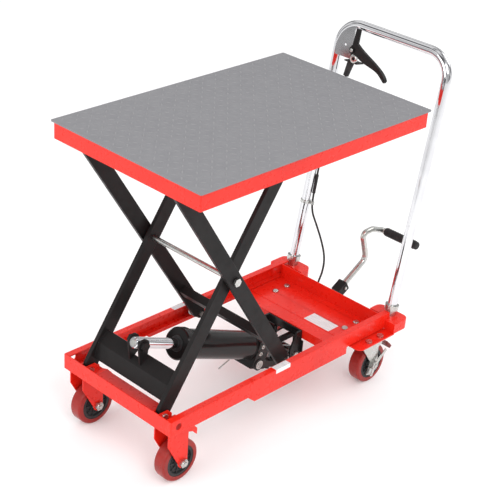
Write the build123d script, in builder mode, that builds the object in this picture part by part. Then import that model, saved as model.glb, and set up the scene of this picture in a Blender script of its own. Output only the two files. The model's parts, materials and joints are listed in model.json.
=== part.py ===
from build123d import *
import math
import os

# Hydraulic scissor lift table, stored fully raised.
# +X points to the front of the cart, +Y to the operator's left, +Z up.
# The origin lies on the floor, in the middle of the overall footprint.  Millimetres.

# ---------------------------------------------------------------- driving dimensions
table_length = 700
table_width = 450
raised_height = 723
table_centre_x = 85
mat_thickness = 3
pan_sheet = 2
rim_height = 38
rim_inset = 5

base_front_x = 437
base_half_width = 175
rail_top = 181
rail_bottom = 144
rail_flange = 16
rail_sheet = 3
rail_rear_x = -276

arm_length = 644.5
arm_width = 36
arm_thickness = 10
arm_end_radius = 12.5
inner_arm_y = 114
outer_arm_y = 132
pivot_x = 414
lower_pivot_z = 162.5
upper_pivot_z = 699.5
pin_radius = 6
running_gap = 0.05
hexagon = 6

roller_radius = 15.2
wheel_radius = 50
wheel_width = 32
hub_radius = 38
front_wheel_x = 385
front_wheel_y = 140
caster_x = -206
caster_y = 153
caster_trail = 29

cylinder_base_x = -80
cylinder_base_z = 81
lug_pin_along = 110
lug_pin_offset = 27

handle_half_width = 162
handle_tube_radius = 12
handle_wall = 2
handle_bend_radius = 58
handle_foot_x = -294
handle_foot_z = 160
handle_top_z = 796
handle_lean = math.degrees(math.atan(0.173))

# ---------------------------------------------------------------- derived geometry
table_top_z = raised_height
deck_top_z = table_top_z - mat_thickness
deck_bottom_z = deck_top_z - pan_sheet
rest_angle = math.degrees(math.asin((upper_pivot_z - lower_pivot_z) / arm_length))
roller_x = pivot_x - arm_length * math.cos(math.radians(rest_angle))
centre_x = (pivot_x + roller_x) / 2
centre_z = (lower_pivot_z + upper_pivot_z) / 2
cos_rest = math.cos(math.radians(rest_angle))
sin_rest = math.sin(math.radians(rest_angle))


def xz(y):
    """Vertical plane across the cart at y, drawn in X and Z, facing -Y."""
    return Plane(origin=(0, y, 0), x_dir=(1, 0, 0), z_dir=(0, -1, 0))


# The arm planes have their origin at the arm's front pivot and run along the arm.
inner_arm_plane = Plane(
    origin=(pivot_x, 0, lower_pivot_z), x_dir=(-cos_rest, 0, sin_rest), z_dir=(0, 1, 0)
)
outer_arm_plane = Plane(
    origin=(pivot_x, 0, upper_pivot_z), x_dir=(-cos_rest, 0, -sin_rest), z_dir=(0, 1, 0)
)

# The ram plane starts at the pump's pivot, and its x runs along the ram to the lug pin.
lug_pin_x = pivot_x - lug_pin_along * cos_rest + lug_pin_offset * sin_rest
lug_pin_z = lower_pivot_z + lug_pin_along * sin_rest + lug_pin_offset * cos_rest
ram_length = math.hypot(lug_pin_x - cylinder_base_x, lug_pin_z - cylinder_base_z)
ram_cos = (lug_pin_x - cylinder_base_x) / ram_length
ram_sin = (lug_pin_z - cylinder_base_z) / ram_length
ram_plane = Plane(
    origin=(cylinder_base_x, 0, cylinder_base_z), x_dir=(ram_cos, 0, ram_sin), z_dir=(0, -1, 0)
)


def ram_section(distance):
    """Plane square to the ram, at a distance from the pump's pivot."""
    return Plane(
        origin=(cylinder_base_x + distance * ram_cos, 0, cylinder_base_z + distance * ram_sin),
        x_dir=(0, 1, 0),
        z_dir=(ram_cos, 0, ram_sin),
    )


def ram_point(along, across, up):
    """Point given along the ram, across the cart and square above the ram's axis."""
    return (
        cylinder_base_x + along * ram_cos - up * ram_sin,
        across,
        cylinder_base_z + along * ram_sin + up * ram_cos,
    )


# The handle plane holds the tube's bow: x across the cart, y up along the leaning tube.
lean_cos = math.cos(math.radians(handle_lean))
lean_sin = math.sin(math.radians(handle_lean))
handle_length = (handle_top_z - handle_foot_z) / lean_cos


def handle_plane(forward=0.0):
    """Plane of the handle's bow, moved forward square to itself."""
    return Plane(
        origin=(handle_foot_x + forward * lean_cos, 0, handle_foot_z + forward * lean_sin),
        x_dir=(0, 1, 0),
        z_dir=(lean_cos, 0, lean_sin),
    )


os.makedirs("parts", exist_ok=True)

def about(points, centre):
    """Outline points given from a centre."""
    return [(centre[0] + point[0], centre[1] + point[1]) for point in points]


# ---------------------------------------------------------------- base rails
skirt_front_x = 207
skirt_step_x = 185
skirt_rear_x = -123
skirt_bottom = 126
front_flange_depth = 62
front_flange_end_depth = 25
front_flange_wide_y = 104
bracket_rear_x = 392
bracket_top = 174
bracket_corner = 10
bracket_thickness = 4
outer_bracket_y = 126
inner_bracket_y = 108
access_hole_radius = 8
web_inner_y = base_half_width - rail_sheet
flange_inner_y = base_half_width - rail_flange
front_inner_x = base_front_x - rail_sheet

# Webs of the two rails, deeper under the scissor.
with BuildPart() as side_rails:
    with BuildSketch(xz(base_half_width)):
        with BuildLine():
            Polyline(
                (rail_rear_x, rail_top - rail_sheet),
                (rail_rear_x, rail_bottom),
                (skirt_rear_x, rail_bottom),
                (skirt_rear_x, skirt_bottom),
                (skirt_step_x, skirt_bottom),
                (skirt_front_x, rail_bottom),
                (front_inner_x, rail_bottom),
                (front_inner_x, rail_top - rail_sheet),
                close=True,
            )
        make_face()
        # Access hole in line with the lower pivot pin.
        with Locations((pivot_x, lower_pivot_z)):
            Circle(access_hole_radius, mode=Mode.SUBTRACT)
    extrude(amount=rail_sheet)
    mirror(about=Plane.XZ)
side_rails.part.label = "side_rails"
export_step(side_rails.part, "parts/side_rails.step")

# Flanges of the rails, which make them channels open towards the middle of the cart.
with BuildPart() as rail_flanges:
    for flange_z, flange_outer_y in ((rail_bottom, web_inner_y), (rail_top - rail_sheet, base_half_width)):
        with Locations((rail_rear_x, flange_inner_y, flange_z)):
            Box(
                front_inner_x - rail_rear_x,
                flange_outer_y - flange_inner_y,
                rail_sheet,
                align=(Align.MIN, Align.MIN, Align.MIN),
            )
    mirror(about=Plane.XZ)
rail_flanges.part.label = "rail_flanges"
export_step(rail_flanges.part, "parts/rail_flanges.step")

with BuildPart() as front_rail:
    # Pivot bracket: a pair of plates around the inner arm.
    for plate_y in (inner_bracket_y, outer_bracket_y):
        with BuildSketch(xz(plate_y + bracket_thickness)):
            with BuildLine():
                Polyline(
                    (bracket_rear_x, rail_bottom + rail_sheet),
                    (front_inner_x, rail_bottom + rail_sheet),
                    (front_inner_x, bracket_top),
                    (bracket_rear_x + bracket_corner, bracket_top),
                    (bracket_rear_x, bracket_top - bracket_corner),
                    close=True,
                )
            make_face()
            with Locations((pivot_x, lower_pivot_z)):
                Circle(pin_radius + running_gap, mode=Mode.SUBTRACT)
        extrude(amount=bracket_thickness)
    # Bottom flange of the front angle, between the side rails.
    with BuildSketch(Plane.XY.offset(rail_bottom)):
        with BuildLine():
            Polyline(
                (front_inner_x - front_flange_depth, 0),
                (front_inner_x, 0),
                (front_inner_x, flange_inner_y),
                (front_inner_x - front_flange_end_depth, flange_inner_y),
                (front_inner_x - front_flange_end_depth, front_flange_wide_y),
                (front_inner_x - front_flange_depth, front_flange_wide_y),
                close=True,
            )
        make_face()
    extrude(amount=rail_sheet)
    # Upright leg of the front angle, across the ends of the rails.
    with BuildSketch(Plane.YZ.offset(front_inner_x)):
        with BuildLine():
            Polyline(
                (0, rail_bottom),
                (base_half_width, rail_bottom),
                (base_half_width, rail_top),
                (0, rail_top),
                close=True,
            )
        make_face()
    extrude(amount=rail_sheet)
    mirror(about=Plane.XZ)
front_rail.part.label = "front_rail"
export_step(front_rail.part, "parts/front_rail.step")

pin_head_radius = 9
pin_head = 4

# ---------------------------------------------------------------- rear tray
tray_rear_x = -252
tray_seam_x = -140
tray_seam_width = 2.5
tray_seam_depth = 1.5
tray_front_x = -100
tray_floor_z = rail_bottom
tray_sheet = 3
tray_wall = 2
tray_front_drop = 24
tray_side_gap = 0.5
tray_half_width = flange_inner_y - tray_side_gap
caster_bolt_dx = 21
caster_bolt_dy = 38
caster_bolt_radius = 4
caster_bolt_play = 0.5

with BuildPart() as tray_pan:
    with BuildSketch(Plane.XZ):
        with BuildLine():
            Polyline(
                (tray_rear_x, rail_top),
                (tray_rear_x, tray_floor_z - tray_sheet),
                (tray_front_x - tray_wall, tray_floor_z - tray_sheet),
                (tray_front_x - tray_wall, tray_floor_z - tray_front_drop),
                (tray_front_x, tray_floor_z - tray_front_drop),
                (tray_front_x, tray_floor_z),
                (tray_seam_x + tray_seam_width, tray_floor_z),
                (tray_seam_x + tray_seam_width, tray_floor_z - tray_seam_depth),
                (tray_seam_x, tray_floor_z - tray_seam_depth),
                (tray_seam_x, tray_floor_z),
                (tray_rear_x + tray_wall, tray_floor_z),
                (tray_rear_x + tray_wall, rail_top),
                close=True,
            )
        make_face()
    extrude(amount=tray_half_width, both=True)
    with Locations(Plane.XY.offset(tray_floor_z)):
        for side in (-1, 1):
            with Locations((caster_x, side * (caster_y - caster_bolt_dy))):
                with GridLocations(2 * caster_bolt_dx, 0, 2, 1):
                    Hole(caster_bolt_radius + caster_bolt_play, depth=tray_sheet)
tray_pan.part.label = "tray_pan"
export_step(tray_pan.part, "parts/tray_pan.step")

# ---------------------------------------------------------------- rear corner brackets
wing_front_x = -137
wing_rear_x = -260
wing_sheet = 3
wing_outer_y = 205
wing_inner_y = 100
wing_corner_radius = 16
box_rear_x = -316
box_top_z = 166
box_sheet = 3
box_corner_radius = 18
box_inner_y = 114
rail_end_x = rail_rear_x - 1
tube_seat_play = 1.5

with BuildPart() as corner_brackets:
    # Flat wing plate that carries the swivel caster, below tray and rail.
    with BuildSketch(Plane.XY.offset(tray_floor_z - tray_sheet - wing_sheet)):
        with BuildLine():
            Polyline(
                (wing_front_x, wing_inner_y),
                (wing_front_x, wing_outer_y),
                (wing_rear_x - box_sheet, wing_outer_y),
                (wing_rear_x - box_sheet, wing_inner_y),
                close=True,
            )
        wing_outline = make_face()
        outer_front = wing_outline.vertices().group_by(Axis.X)[-1].sort_by(Axis.Y)[-1]
        fillet(outer_front, radius=wing_corner_radius)
        with Locations((caster_x, caster_y)):
            with GridLocations(2 * caster_bolt_dx, 2 * caster_bolt_dy, 2, 2):
                Circle(caster_bolt_radius + caster_bolt_play, mode=Mode.SUBTRACT)
    extrude(amount=wing_sheet)
    # Folded box behind the rail end, which holds the foot of the handle.
    with BuildSketch(Plane.XY.offset(tray_floor_z - tray_sheet)):
        with BuildLine():
            Polyline(
                (wing_rear_x, base_half_width),
                (wing_rear_x, wing_outer_y),
                (box_rear_x, wing_outer_y),
                (box_rear_x, box_inner_y),
                (rail_end_x, box_inner_y),
                (rail_end_x, base_half_width),
                close=True,
            )
        box_outline = make_face()
        box_corners = box_outline.vertices().group_by(Axis.X)[0]
        fillet(box_corners, radius=box_corner_radius)
    extrude(amount=box_top_z - tray_floor_z + tray_sheet)
    # Hollow the box from below.
    with BuildSketch(Plane.XY.offset(tray_floor_z - tray_sheet)):
        with BuildLine():
            Polyline(
                (wing_rear_x - box_sheet, base_half_width + box_sheet),
                (wing_rear_x - box_sheet, wing_outer_y - box_sheet),
                (box_rear_x + box_sheet, wing_outer_y - box_sheet),
                (box_rear_x + box_sheet, box_inner_y + box_sheet),
                (rail_end_x - box_sheet, box_inner_y + box_sheet),
                (rail_end_x - box_sheet, base_half_width + box_sheet),
                close=True,
            )
        hollow_outline = make_face()
        hollow_corners = hollow_outline.vertices().group_by(Axis.X)[0]
        fillet(hollow_corners, radius=box_corner_radius - box_sheet)
    extrude(amount=box_top_z - box_sheet - tray_floor_z + tray_sheet, mode=Mode.SUBTRACT)
    # Seat for the handle tube through the box top.
    with BuildSketch(Plane.XY.offset(box_top_z)):
        with Locations((handle_foot_x, handle_half_width)):
            Circle(handle_tube_radius + tube_seat_play)
    extrude(amount=-box_sheet, mode=Mode.SUBTRACT)
    mirror(about=Plane.XZ)
corner_brackets.part.label = "corner_brackets"
export_step(corner_brackets.part, "parts/corner_brackets.step")

# ---------------------------------------------------------------- rear casters
wing_bottom_z = tray_floor_z - tray_sheet - wing_sheet
caster_plate = 5
caster_plate_bottom_z = wing_bottom_z - caster_plate
raceway_radius = 25
raceway_height = 5
raceway_gap = 1
kingpin_radius = 8
kingpin_nut_radius = 13
kingpin_nut_height = 6
kingpin_nut_gap = 0.3
caster_plate_length = 66
caster_plate_width = 96
fork_top_z = caster_plate_bottom_z - raceway_height - raceway_gap
fork_plate = 7
fork_leg = 4
fork_wheel_play = 2
fork_gap = wheel_width / 2 + fork_wheel_play
fork_outer = fork_gap + fork_leg
axle_radius = 6
axle_x = caster_x - caster_trail
brake_pivot_x = -252
brake_pivot_z = 108
brake_pin_radius = 3
brake_half_width = 17

with BuildPart() as rear_caster_plates:
    with Locations((caster_x, caster_y, caster_plate_bottom_z)):
        Box(
            caster_plate_length,
            caster_plate_width,
            caster_plate,
            align=(Align.CENTER, Align.CENTER, Align.MIN),
        )
    # Fixed bearing race and kingpin below the plate.
    with BuildSketch(Plane.XY.offset(caster_plate_bottom_z)):
        with Locations((caster_x, caster_y)):
            Circle(raceway_radius)
    extrude(amount=-raceway_height)
    with BuildSketch(Plane.XY.offset(fork_top_z - fork_plate - kingpin_nut_height)):
        with Locations((caster_x, caster_y)):
            Circle(kingpin_radius)
    extrude(amount=fork_plate + kingpin_nut_height + raceway_gap)
    with BuildSketch(Plane.XY.offset(fork_top_z - fork_plate - kingpin_nut_gap)):
        with Locations((caster_x, caster_y)):
            RegularPolygon(kingpin_nut_radius, hexagon)
    extrude(amount=-kingpin_nut_height)
    with BuildSketch(Plane.XY.offset(wing_bottom_z)):
        with Locations((caster_x, caster_y)):
            with GridLocations(2 * caster_bolt_dx, 2 * caster_bolt_dy, 2, 2):
                Circle(caster_bolt_radius + running_gap)
    extrude(amount=-caster_plate, mode=Mode.SUBTRACT)
    mirror(about=Plane.XZ)
rear_caster_plates.part.label = "rear_caster_plates"
export_step(rear_caster_plates.part, "parts/rear_caster_plates.step")

bolt_head_radius = 8
bolt_head_height = 4
bolt_nut_height = 4
bolt_nut_radius = 7.5
bolt_head_rounding = 3
with BuildPart() as caster_bolts:
    for dx in (-caster_bolt_dx, caster_bolt_dx):
        for dy, head_z in ((-caster_bolt_dy, tray_floor_z), (caster_bolt_dy, tray_floor_z - tray_sheet)):
            bolt_at = (caster_x + dx, caster_y + dy)
            shank_bottom_z = caster_plate_bottom_z - bolt_nut_height
            with BuildSketch(Plane.XY.offset(shank_bottom_z)):
                with Locations(bolt_at):
                    Circle(caster_bolt_radius)
            extrude(amount=head_z - shank_bottom_z)
            with BuildSketch(Plane.XY.offset(shank_bottom_z)):
                with Locations(bolt_at):
                    RegularPolygon(bolt_nut_radius, hexagon)
            extrude(amount=bolt_nut_height)
            with BuildSketch(Plane.XY.offset(head_z)):
                with Locations(bolt_at):
                    Circle(bolt_head_radius)
            extrude(amount=bolt_head_height)
    fillet(
        caster_bolts.edges().filter_by(GeomType.CIRCLE).group_by(Axis.Z)[-1],
        radius=bolt_head_rounding,
    )
    mirror(about=Plane.XZ)
caster_bolts.part.label = "caster_bolts"
export_step(caster_bolts.part, "parts/caster_bolts.step")

sides = (("left", 1), ("right", -1))
fork_crown_length = 46
fork_crown_offset = 20
leg_front = 18
leg_waist = (14, -22)
leg_front_ease = 14
leg_toe = ((-212, 29), (-226, 24))
leg_rear_radius = 15
leg_rear = -43
brake_ear = (8, 6)
brake_ear_root = -12
brake_pin_reach = 1.5
brake_bend = 6
brake_outline = (
    (0, 5),
    (-24, -7),
    (-47, -31),
    (-52, -33),
    (-51, -38),
    (-43, -35),
    (-20, -12),
    (0, -5),
)
axle_nut_radius = 11
axle_nut_height = 6
spacer_radius = 10
spacer_gap = 0.3
rear_spacer = fork_wheel_play - spacer_gap

for side_name, side in sides:
    side_y = side * caster_y

    # Swivel fork: crown, two legs that reach below the axle, and the ears of the brake.
    with BuildPart() as rear_fork:
        with BuildSketch(Plane.XY.offset(fork_top_z)):
            with Locations((caster_x, side_y)):
                Circle(raceway_radius + 1)
            with Locations((caster_x - fork_crown_offset, side_y)):
                Rectangle(fork_crown_length, 2 * fork_outer)
            with Locations((caster_x, side_y)):
                Circle(kingpin_radius + running_gap, mode=Mode.SUBTRACT)
        extrude(amount=-fork_plate)
        for leg_y in (side_y + fork_outer, side_y - fork_gap):
            with BuildSketch(xz(leg_y)):
                with BuildLine():
                    Polyline(
                        (caster_x + leg_front, fork_top_z),
                        (caster_x + leg_waist[0], fork_top_z + leg_waist[1]),
                        (axle_x + leg_front_ease, wheel_radius + leg_front_ease),
                        *leg_toe,
                        (axle_x - leg_rear_radius, wheel_radius - brake_ear[1]),
                        (axle_x - leg_rear_radius, wheel_radius + brake_ear[1]),
                        (caster_x + leg_rear + 1, brake_pivot_z + brake_ear_root),
                        (brake_pivot_x - brake_ear[0], brake_pivot_z - brake_ear[1]),
                        (brake_pivot_x - brake_ear[0], brake_pivot_z + brake_ear[1]),
                        (caster_x + leg_rear, fork_top_z),
                        close=True,
                    )
                make_face()
                with Locations((axle_x, wheel_radius)):
                    Circle(axle_radius + running_gap, mode=Mode.SUBTRACT)
                with Locations((brake_pivot_x, brake_pivot_z)):
                    Circle(brake_pin_radius, mode=Mode.SUBTRACT)
            extrude(amount=fork_leg)
        with BuildSketch(xz(side_y + fork_outer + brake_pin_reach)):
            with Locations((brake_pivot_x, brake_pivot_z)):
                Circle(brake_pin_radius)
        extrude(amount=2 * (fork_outer + brake_pin_reach))
    rear_fork.part.label = f"rear_fork_{side_name}"
    export_step(rear_fork.part, f"parts/rear_fork_{side_name}.step")

    # Brake pedal between the ears, with its tread standing over the tyre.
    with BuildPart() as brake_pedal:
        with BuildSketch(xz(side_y + brake_half_width)):
            with BuildLine():
                Polyline(*about(brake_outline, (brake_pivot_x, brake_pivot_z)), close=True)
            make_face()
            with Locations((brake_pivot_x, brake_pivot_z)):
                Circle(brake_bend)
                Circle(brake_pin_radius + running_gap, mode=Mode.SUBTRACT)
        extrude(amount=2 * brake_half_width)
    brake_pedal.part.label = f"brake_pedal_{side_name}"
    export_step(brake_pedal.part, f"parts/brake_pedal_{side_name}.step")

    # Axle bolt of the swivel wheel, fixed in the fork.
    with BuildPart() as rear_axle:
        with BuildSketch(xz(side_y + fork_outer)):
            with Locations((axle_x, wheel_radius)):
                Circle(axle_radius)
        extrude(amount=2 * fork_outer)
        for nut_y in (side_y + fork_outer + axle_nut_height, side_y - fork_outer):
            with BuildSketch(xz(nut_y)):
                with Locations((axle_x, wheel_radius)):
                    RegularPolygon(axle_nut_radius, hexagon)
            extrude(amount=axle_nut_height)
        for spacer_y in (side_y + fork_gap, side_y - fork_gap + rear_spacer):
            with BuildSketch(xz(spacer_y)):
                with Locations((axle_x, wheel_radius)):
                    Circle(spacer_radius)
            extrude(amount=rear_spacer)
    rear_axle.part.label = f"rear_axle_{side_name}"
    export_step(rear_axle.part, f"parts/rear_axle_{side_name}.step")

# ---------------------------------------------------------------- front casters
front_fork_plate = 3
front_fork_gap = 20
front_fork_top = 4
front_fork_rear_x = 372
front_fork_front_x = 430
front_leg_x = 398
front_leg_radius = 13
front_leg_shoulder = 36
front_spacer = front_fork_gap - wheel_width / 2 - spacer_gap
hook_outline = (
    (front_fork_rear_x, rail_bottom),
    (front_fork_rear_x - 13, rail_bottom - 8),
    (front_fork_rear_x - 25, rail_bottom - 21),
    (front_fork_rear_x - 25, rail_bottom - 37),
    (front_fork_rear_x - 18, rail_bottom - 31),
    (front_fork_rear_x - 12, rail_bottom - 24),
    (front_fork_rear_x, rail_bottom - 20),
)

# Fixed front forks, each with a hook at the rear of its legs.
with BuildPart() as front_forks:
    with Locations(((front_fork_rear_x + front_fork_front_x) / 2, front_wheel_y, rail_bottom)):
        Box(
            front_fork_front_x - front_fork_rear_x,
            2 * (front_fork_gap + front_fork_plate),
            front_fork_top,
            align=(Align.CENTER, Align.CENTER, Align.MAX),
        )
    for leg_y in (front_wheel_y + front_fork_gap + front_fork_plate, front_wheel_y - front_fork_gap):
        with BuildSketch(xz(leg_y)):
            with BuildLine():
                Polyline(
                    (front_fork_rear_x, wheel_radius),
                    (front_fork_rear_x, rail_bottom),
                    (front_fork_front_x, rail_bottom),
                    (front_fork_front_x, rail_bottom - front_leg_shoulder),
                    (front_leg_x, wheel_radius),
                )
                ThreePointArc(
                    (front_leg_x, wheel_radius),
                    (front_wheel_x, wheel_radius - front_leg_radius),
                    (front_fork_rear_x, wheel_radius),
                )
            make_face()
            with Locations((front_wheel_x, wheel_radius)):
                Circle(axle_radius, mode=Mode.SUBTRACT)
        extrude(amount=front_fork_plate)
        with BuildSketch(xz(leg_y)):
            with BuildLine():
                Polyline(*hook_outline, close=True)
            make_face()
        extrude(amount=front_fork_plate)
    mirror(about=Plane.XZ)
front_forks.part.label = "front_forks"
export_step(front_forks.part, "parts/front_forks.step")

with BuildPart() as front_axles:
    outer_face = front_wheel_y + front_fork_gap + front_fork_plate
    inner_face = front_wheel_y - front_fork_gap - front_fork_plate
    with BuildSketch(xz(outer_face)):
        with Locations((front_wheel_x, wheel_radius)):
            Circle(axle_radius)
    extrude(amount=outer_face - inner_face)
    for nut_y in (outer_face + axle_nut_height, inner_face):
        with BuildSketch(xz(nut_y)):
            with Locations((front_wheel_x, wheel_radius)):
                RegularPolygon(axle_nut_radius, hexagon)
        extrude(amount=axle_nut_height)
    for spacer_y in (front_wheel_y + front_fork_gap, front_wheel_y - front_fork_gap + front_spacer):
        with BuildSketch(xz(spacer_y)):
            with Locations((front_wheel_x, wheel_radius)):
                Circle(spacer_radius)
        extrude(amount=front_spacer)
    mirror(about=Plane.XZ)
front_axles.part.label = "front_axles"
export_step(front_axles.part, "parts/front_axles.step")

# ---------------------------------------------------------------- wheels
hub_bore = axle_radius + running_gap
hub_rim_radius = 31
hub_boss_radius = 13
hub_draft = 1
hub_boss_draft = 2
hub_recess = 5
tyre_shoulder = 5
wheels = (
    ("front", front_wheel_x, front_wheel_y),
    ("rear", axle_x, caster_y),
)

for wheel_name, wheel_x, wheel_y in wheels:
    for side_name, side in sides:
        side_y = side * wheel_y
        # Hub with a dished web on both faces.
        with BuildPart() as hub:
            with BuildSketch(Plane.XY):
                with BuildLine():
                    Polyline(
                        (hub_bore, -wheel_width / 2),
                        (hub_boss_radius, -wheel_width / 2),
                        (hub_boss_radius + hub_boss_draft, -wheel_width / 2 + hub_recess),
                        (hub_rim_radius - hub_draft, -wheel_width / 2 + hub_recess),
                        (hub_rim_radius, -wheel_width / 2 + hub_draft),
                        (hub_radius, -wheel_width / 2 + hub_draft),
                        (hub_radius, wheel_width / 2 - hub_draft),
                        (hub_rim_radius, wheel_width / 2 - hub_draft),
                        (hub_rim_radius - hub_draft, wheel_width / 2 - hub_recess),
                        (hub_boss_radius + hub_boss_draft, wheel_width / 2 - hub_recess),
                        (hub_boss_radius, wheel_width / 2),
                        (hub_bore, wheel_width / 2),
                        close=True,
                    )
                make_face()
            revolve(axis=Axis.Y)
        hub.part.label = f"{wheel_name}_hub_{side_name}"
        export_step(
            hub.part.moved(Location((wheel_x, side_y, wheel_radius))),
            f"parts/{wheel_name}_hub_{side_name}.step",
        )
        # Tyre cast round the hub.
        with BuildPart() as tyre:
            with BuildSketch(Plane.XY):
                with Locations(((hub_radius + wheel_radius) / 2, 0)):
                    Rectangle(wheel_radius - hub_radius, wheel_width)
            revolve(axis=Axis.Y)
            fillet(tyre.edges().filter_by(GeomType.CIRCLE).sort_by(SortBy.RADIUS)[-2:], radius=tyre_shoulder)
        tyre.part.label = f"{wheel_name}_tyre_{side_name}"
        export_step(
            tyre.part.moved(Location((wheel_x, side_y, wheel_radius))),
            f"parts/{wheel_name}_tyre_{side_name}.step",
        )

# ---------------------------------------------------------------- push handle
collar_radius = 17
collar_neck_radius = 14.5
collar_neck_top = 18
collar_top = 31
handle_clearance = handle_tube_radius + running_gap


def handle_point(across, along, forward=0.0):
    """Point in the leaning plane of the handle, in cart coordinates."""
    return (
        handle_foot_x - along * lean_sin + forward * lean_cos,
        across,
        handle_foot_z + along * lean_cos + forward * lean_sin,
    )


with BuildPart() as handle_tube:
    with BuildLine(handle_plane()) as handle_bow:
        FilletPolyline(
            (handle_half_width, 0),
            (handle_half_width, handle_length),
            (-handle_half_width, handle_length),
            (-handle_half_width, 0),
            radius=handle_bend_radius,
        )
    with BuildSketch(Plane(origin=handle_bow.line @ 0, z_dir=handle_bow.line % 0)):
        Circle(handle_tube_radius)
        Circle(handle_tube_radius - handle_wall, mode=Mode.SUBTRACT)
    sweep(path=handle_bow.line)
handle_tube.part.label = "handle_tube"
export_step(handle_tube.part, "parts/handle_tube.step")

with BuildPart() as handle_collars:
    collar_axis = Plane(origin=handle_point(handle_half_width, 0), z_dir=(-lean_sin, 0, lean_cos))
    with BuildSketch(collar_axis):
        Circle(collar_neck_radius)
        Circle(handle_clearance, mode=Mode.SUBTRACT)
    extrude(amount=collar_neck_top)
    with BuildSketch(collar_axis.offset(collar_neck_top)):
        Circle(collar_radius)
        Circle(handle_clearance, mode=Mode.SUBTRACT)
    extrude(amount=collar_top - collar_neck_top)
    mirror(about=Plane.XZ)
    # The collars sit flat on the corner boxes.
    split(bisect_by=Plane.XY.offset(box_top_z), keep=Keep.TOP)
handle_collars.part.label = "handle_collars"
export_step(handle_collars.part, "parts/handle_collars.step")

# Gusset in the right-hand bend, in front of the tube.
gusset_thickness = 2.5
gusset_radius = handle_bend_radius - 4
gusset_edge = (3, 8)
gusset_hole = (27, 5.5)
gusset_hole_radius = 3
bend_centre_y = -(handle_half_width - handle_bend_radius)
bend_centre_s = handle_length - handle_bend_radius
gusset_top_y = bend_centre_y - gusset_edge[1]
gusset_top_s = bend_centre_s + math.sqrt(gusset_radius**2 - gusset_edge[1] ** 2)
gusset_foot_s = bend_centre_s - 24
gusset_chord = gusset_radius / math.sqrt(2)

with BuildPart() as handle_gusset:
    with BuildSketch(handle_plane(handle_clearance)):
        with BuildLine():
            Line((bend_centre_y - gusset_edge[0], gusset_foot_s), (gusset_top_y, gusset_top_s))
            ThreePointArc(
                (gusset_top_y, gusset_top_s),
                (bend_centre_y - gusset_chord, bend_centre_s + gusset_chord),
                (bend_centre_y - gusset_radius, bend_centre_s),
            )
            Polyline(
                (bend_centre_y - gusset_radius, bend_centre_s),
                (bend_centre_y - gusset_radius, gusset_foot_s),
                (bend_centre_y - gusset_edge[0], gusset_foot_s),
            )
        make_face()
        with Locations((bend_centre_y - gusset_hole[0], bend_centre_s + gusset_hole[1])):
            Circle(gusset_hole_radius, mode=Mode.SUBTRACT)
    extrude(amount=gusset_thickness)
handle_gusset.part.label = "handle_gusset"
export_step(handle_gusset.part, "parts/handle_gusset.step")

# Lever mount: a bar on the gusset, its pivot pin and a tab for the cable.
mount_back = handle_clearance + gusset_thickness
mount_thickness = 4
mount_face = mount_back + mount_thickness
lever_pivot_y = -96
lever_pivot_s = bend_centre_s + 2
lever_pin_radius = 4
lever_thickness = 11
lever_gap = 0.5
lever_pin_head_radius = 7
lever_pin_head = 3
cable_tab_s = gusset_foot_s - 4
cable_tab_back = -9
cable_tab_y = (-122, -84)
cable_tab_sheet = 3
cable_start_y = -114
mount_outline = (
    (-104.5, bend_centre_s + 52),
    (-91.5, bend_centre_s + 52),
    (-91, bend_centre_s + 18),
    (-86, bend_centre_s + 2),
    (-86, cable_tab_s),
    (-106, cable_tab_s),
    (-107, bend_centre_s + 14),
)

with BuildPart() as lever_mount:
    with BuildSketch(handle_plane(mount_back)):
        with BuildLine():
            Polyline(*mount_outline, close=True)
        make_face()
    extrude(amount=mount_thickness)
    # Tab that turns back to the tube's plane and holds the cable.
    with BuildSketch(handle_plane(cable_tab_back)):
        with BuildLine():
            Polyline(
                (cable_tab_y[0], cable_tab_s),
                (cable_tab_y[1], cable_tab_s),
                (cable_tab_y[1], cable_tab_s - cable_tab_sheet),
                (cable_tab_y[0], cable_tab_s - cable_tab_sheet),
                close=True,
            )
        make_face()
    extrude(amount=mount_face - cable_tab_back)
    with BuildSketch(handle_plane(mount_face)):
        with Locations((lever_pivot_y, lever_pivot_s)):
            Circle(lever_pin_radius)
    extrude(amount=lever_gap + lever_thickness + lever_gap + lever_pin_head)
    with BuildSketch(handle_plane(mount_face + lever_gap + lever_thickness + lever_gap)):
        with Locations((lever_pivot_y, lever_pivot_s)):
            Circle(lever_pin_head_radius)
    extrude(amount=lever_pin_head)
lever_mount.part.label = "lever_mount"
export_step(lever_mount.part, "parts/lever_mount.step")

# Release lever: thick at its pivot, tapering and turning down at the tip.
lever_eye_radius = 10
lever_centre = (lever_pivot_y, lever_pivot_s)
lever_heel = about(((-9, -4), (-5, 11), (10, 17.5)), lever_centre)
lever_upper_edge = about(
    ((10, 17.5), (44.5, -1), (92, -24.5), (105, -34.6), (111.5, -43.5)), lever_centre
)
lever_lower_edge = about(
    ((108.5, -49.5), (102, -45), (91, -36.5), (51, -24), (13.5, -9.8)), lever_centre
)
with BuildPart() as hand_lever:
    with BuildSketch(handle_plane(mount_face + lever_gap)):
        with BuildLine():
            Polyline(*lever_heel)
            Spline(*lever_upper_edge)
            Line(lever_upper_edge[-1], lever_lower_edge[0])
            Spline(*lever_lower_edge)
            Line(lever_lower_edge[-1], lever_heel[0])
        make_face()
        with Locations((lever_pivot_y, lever_pivot_s)):
            Circle(lever_eye_radius)
            Circle(lever_pin_radius + running_gap, mode=Mode.SUBTRACT)
    extrude(amount=lever_thickness)
hand_lever.part.label = "hand_lever"
export_step(hand_lever.part, "parts/hand_lever.step")

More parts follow.
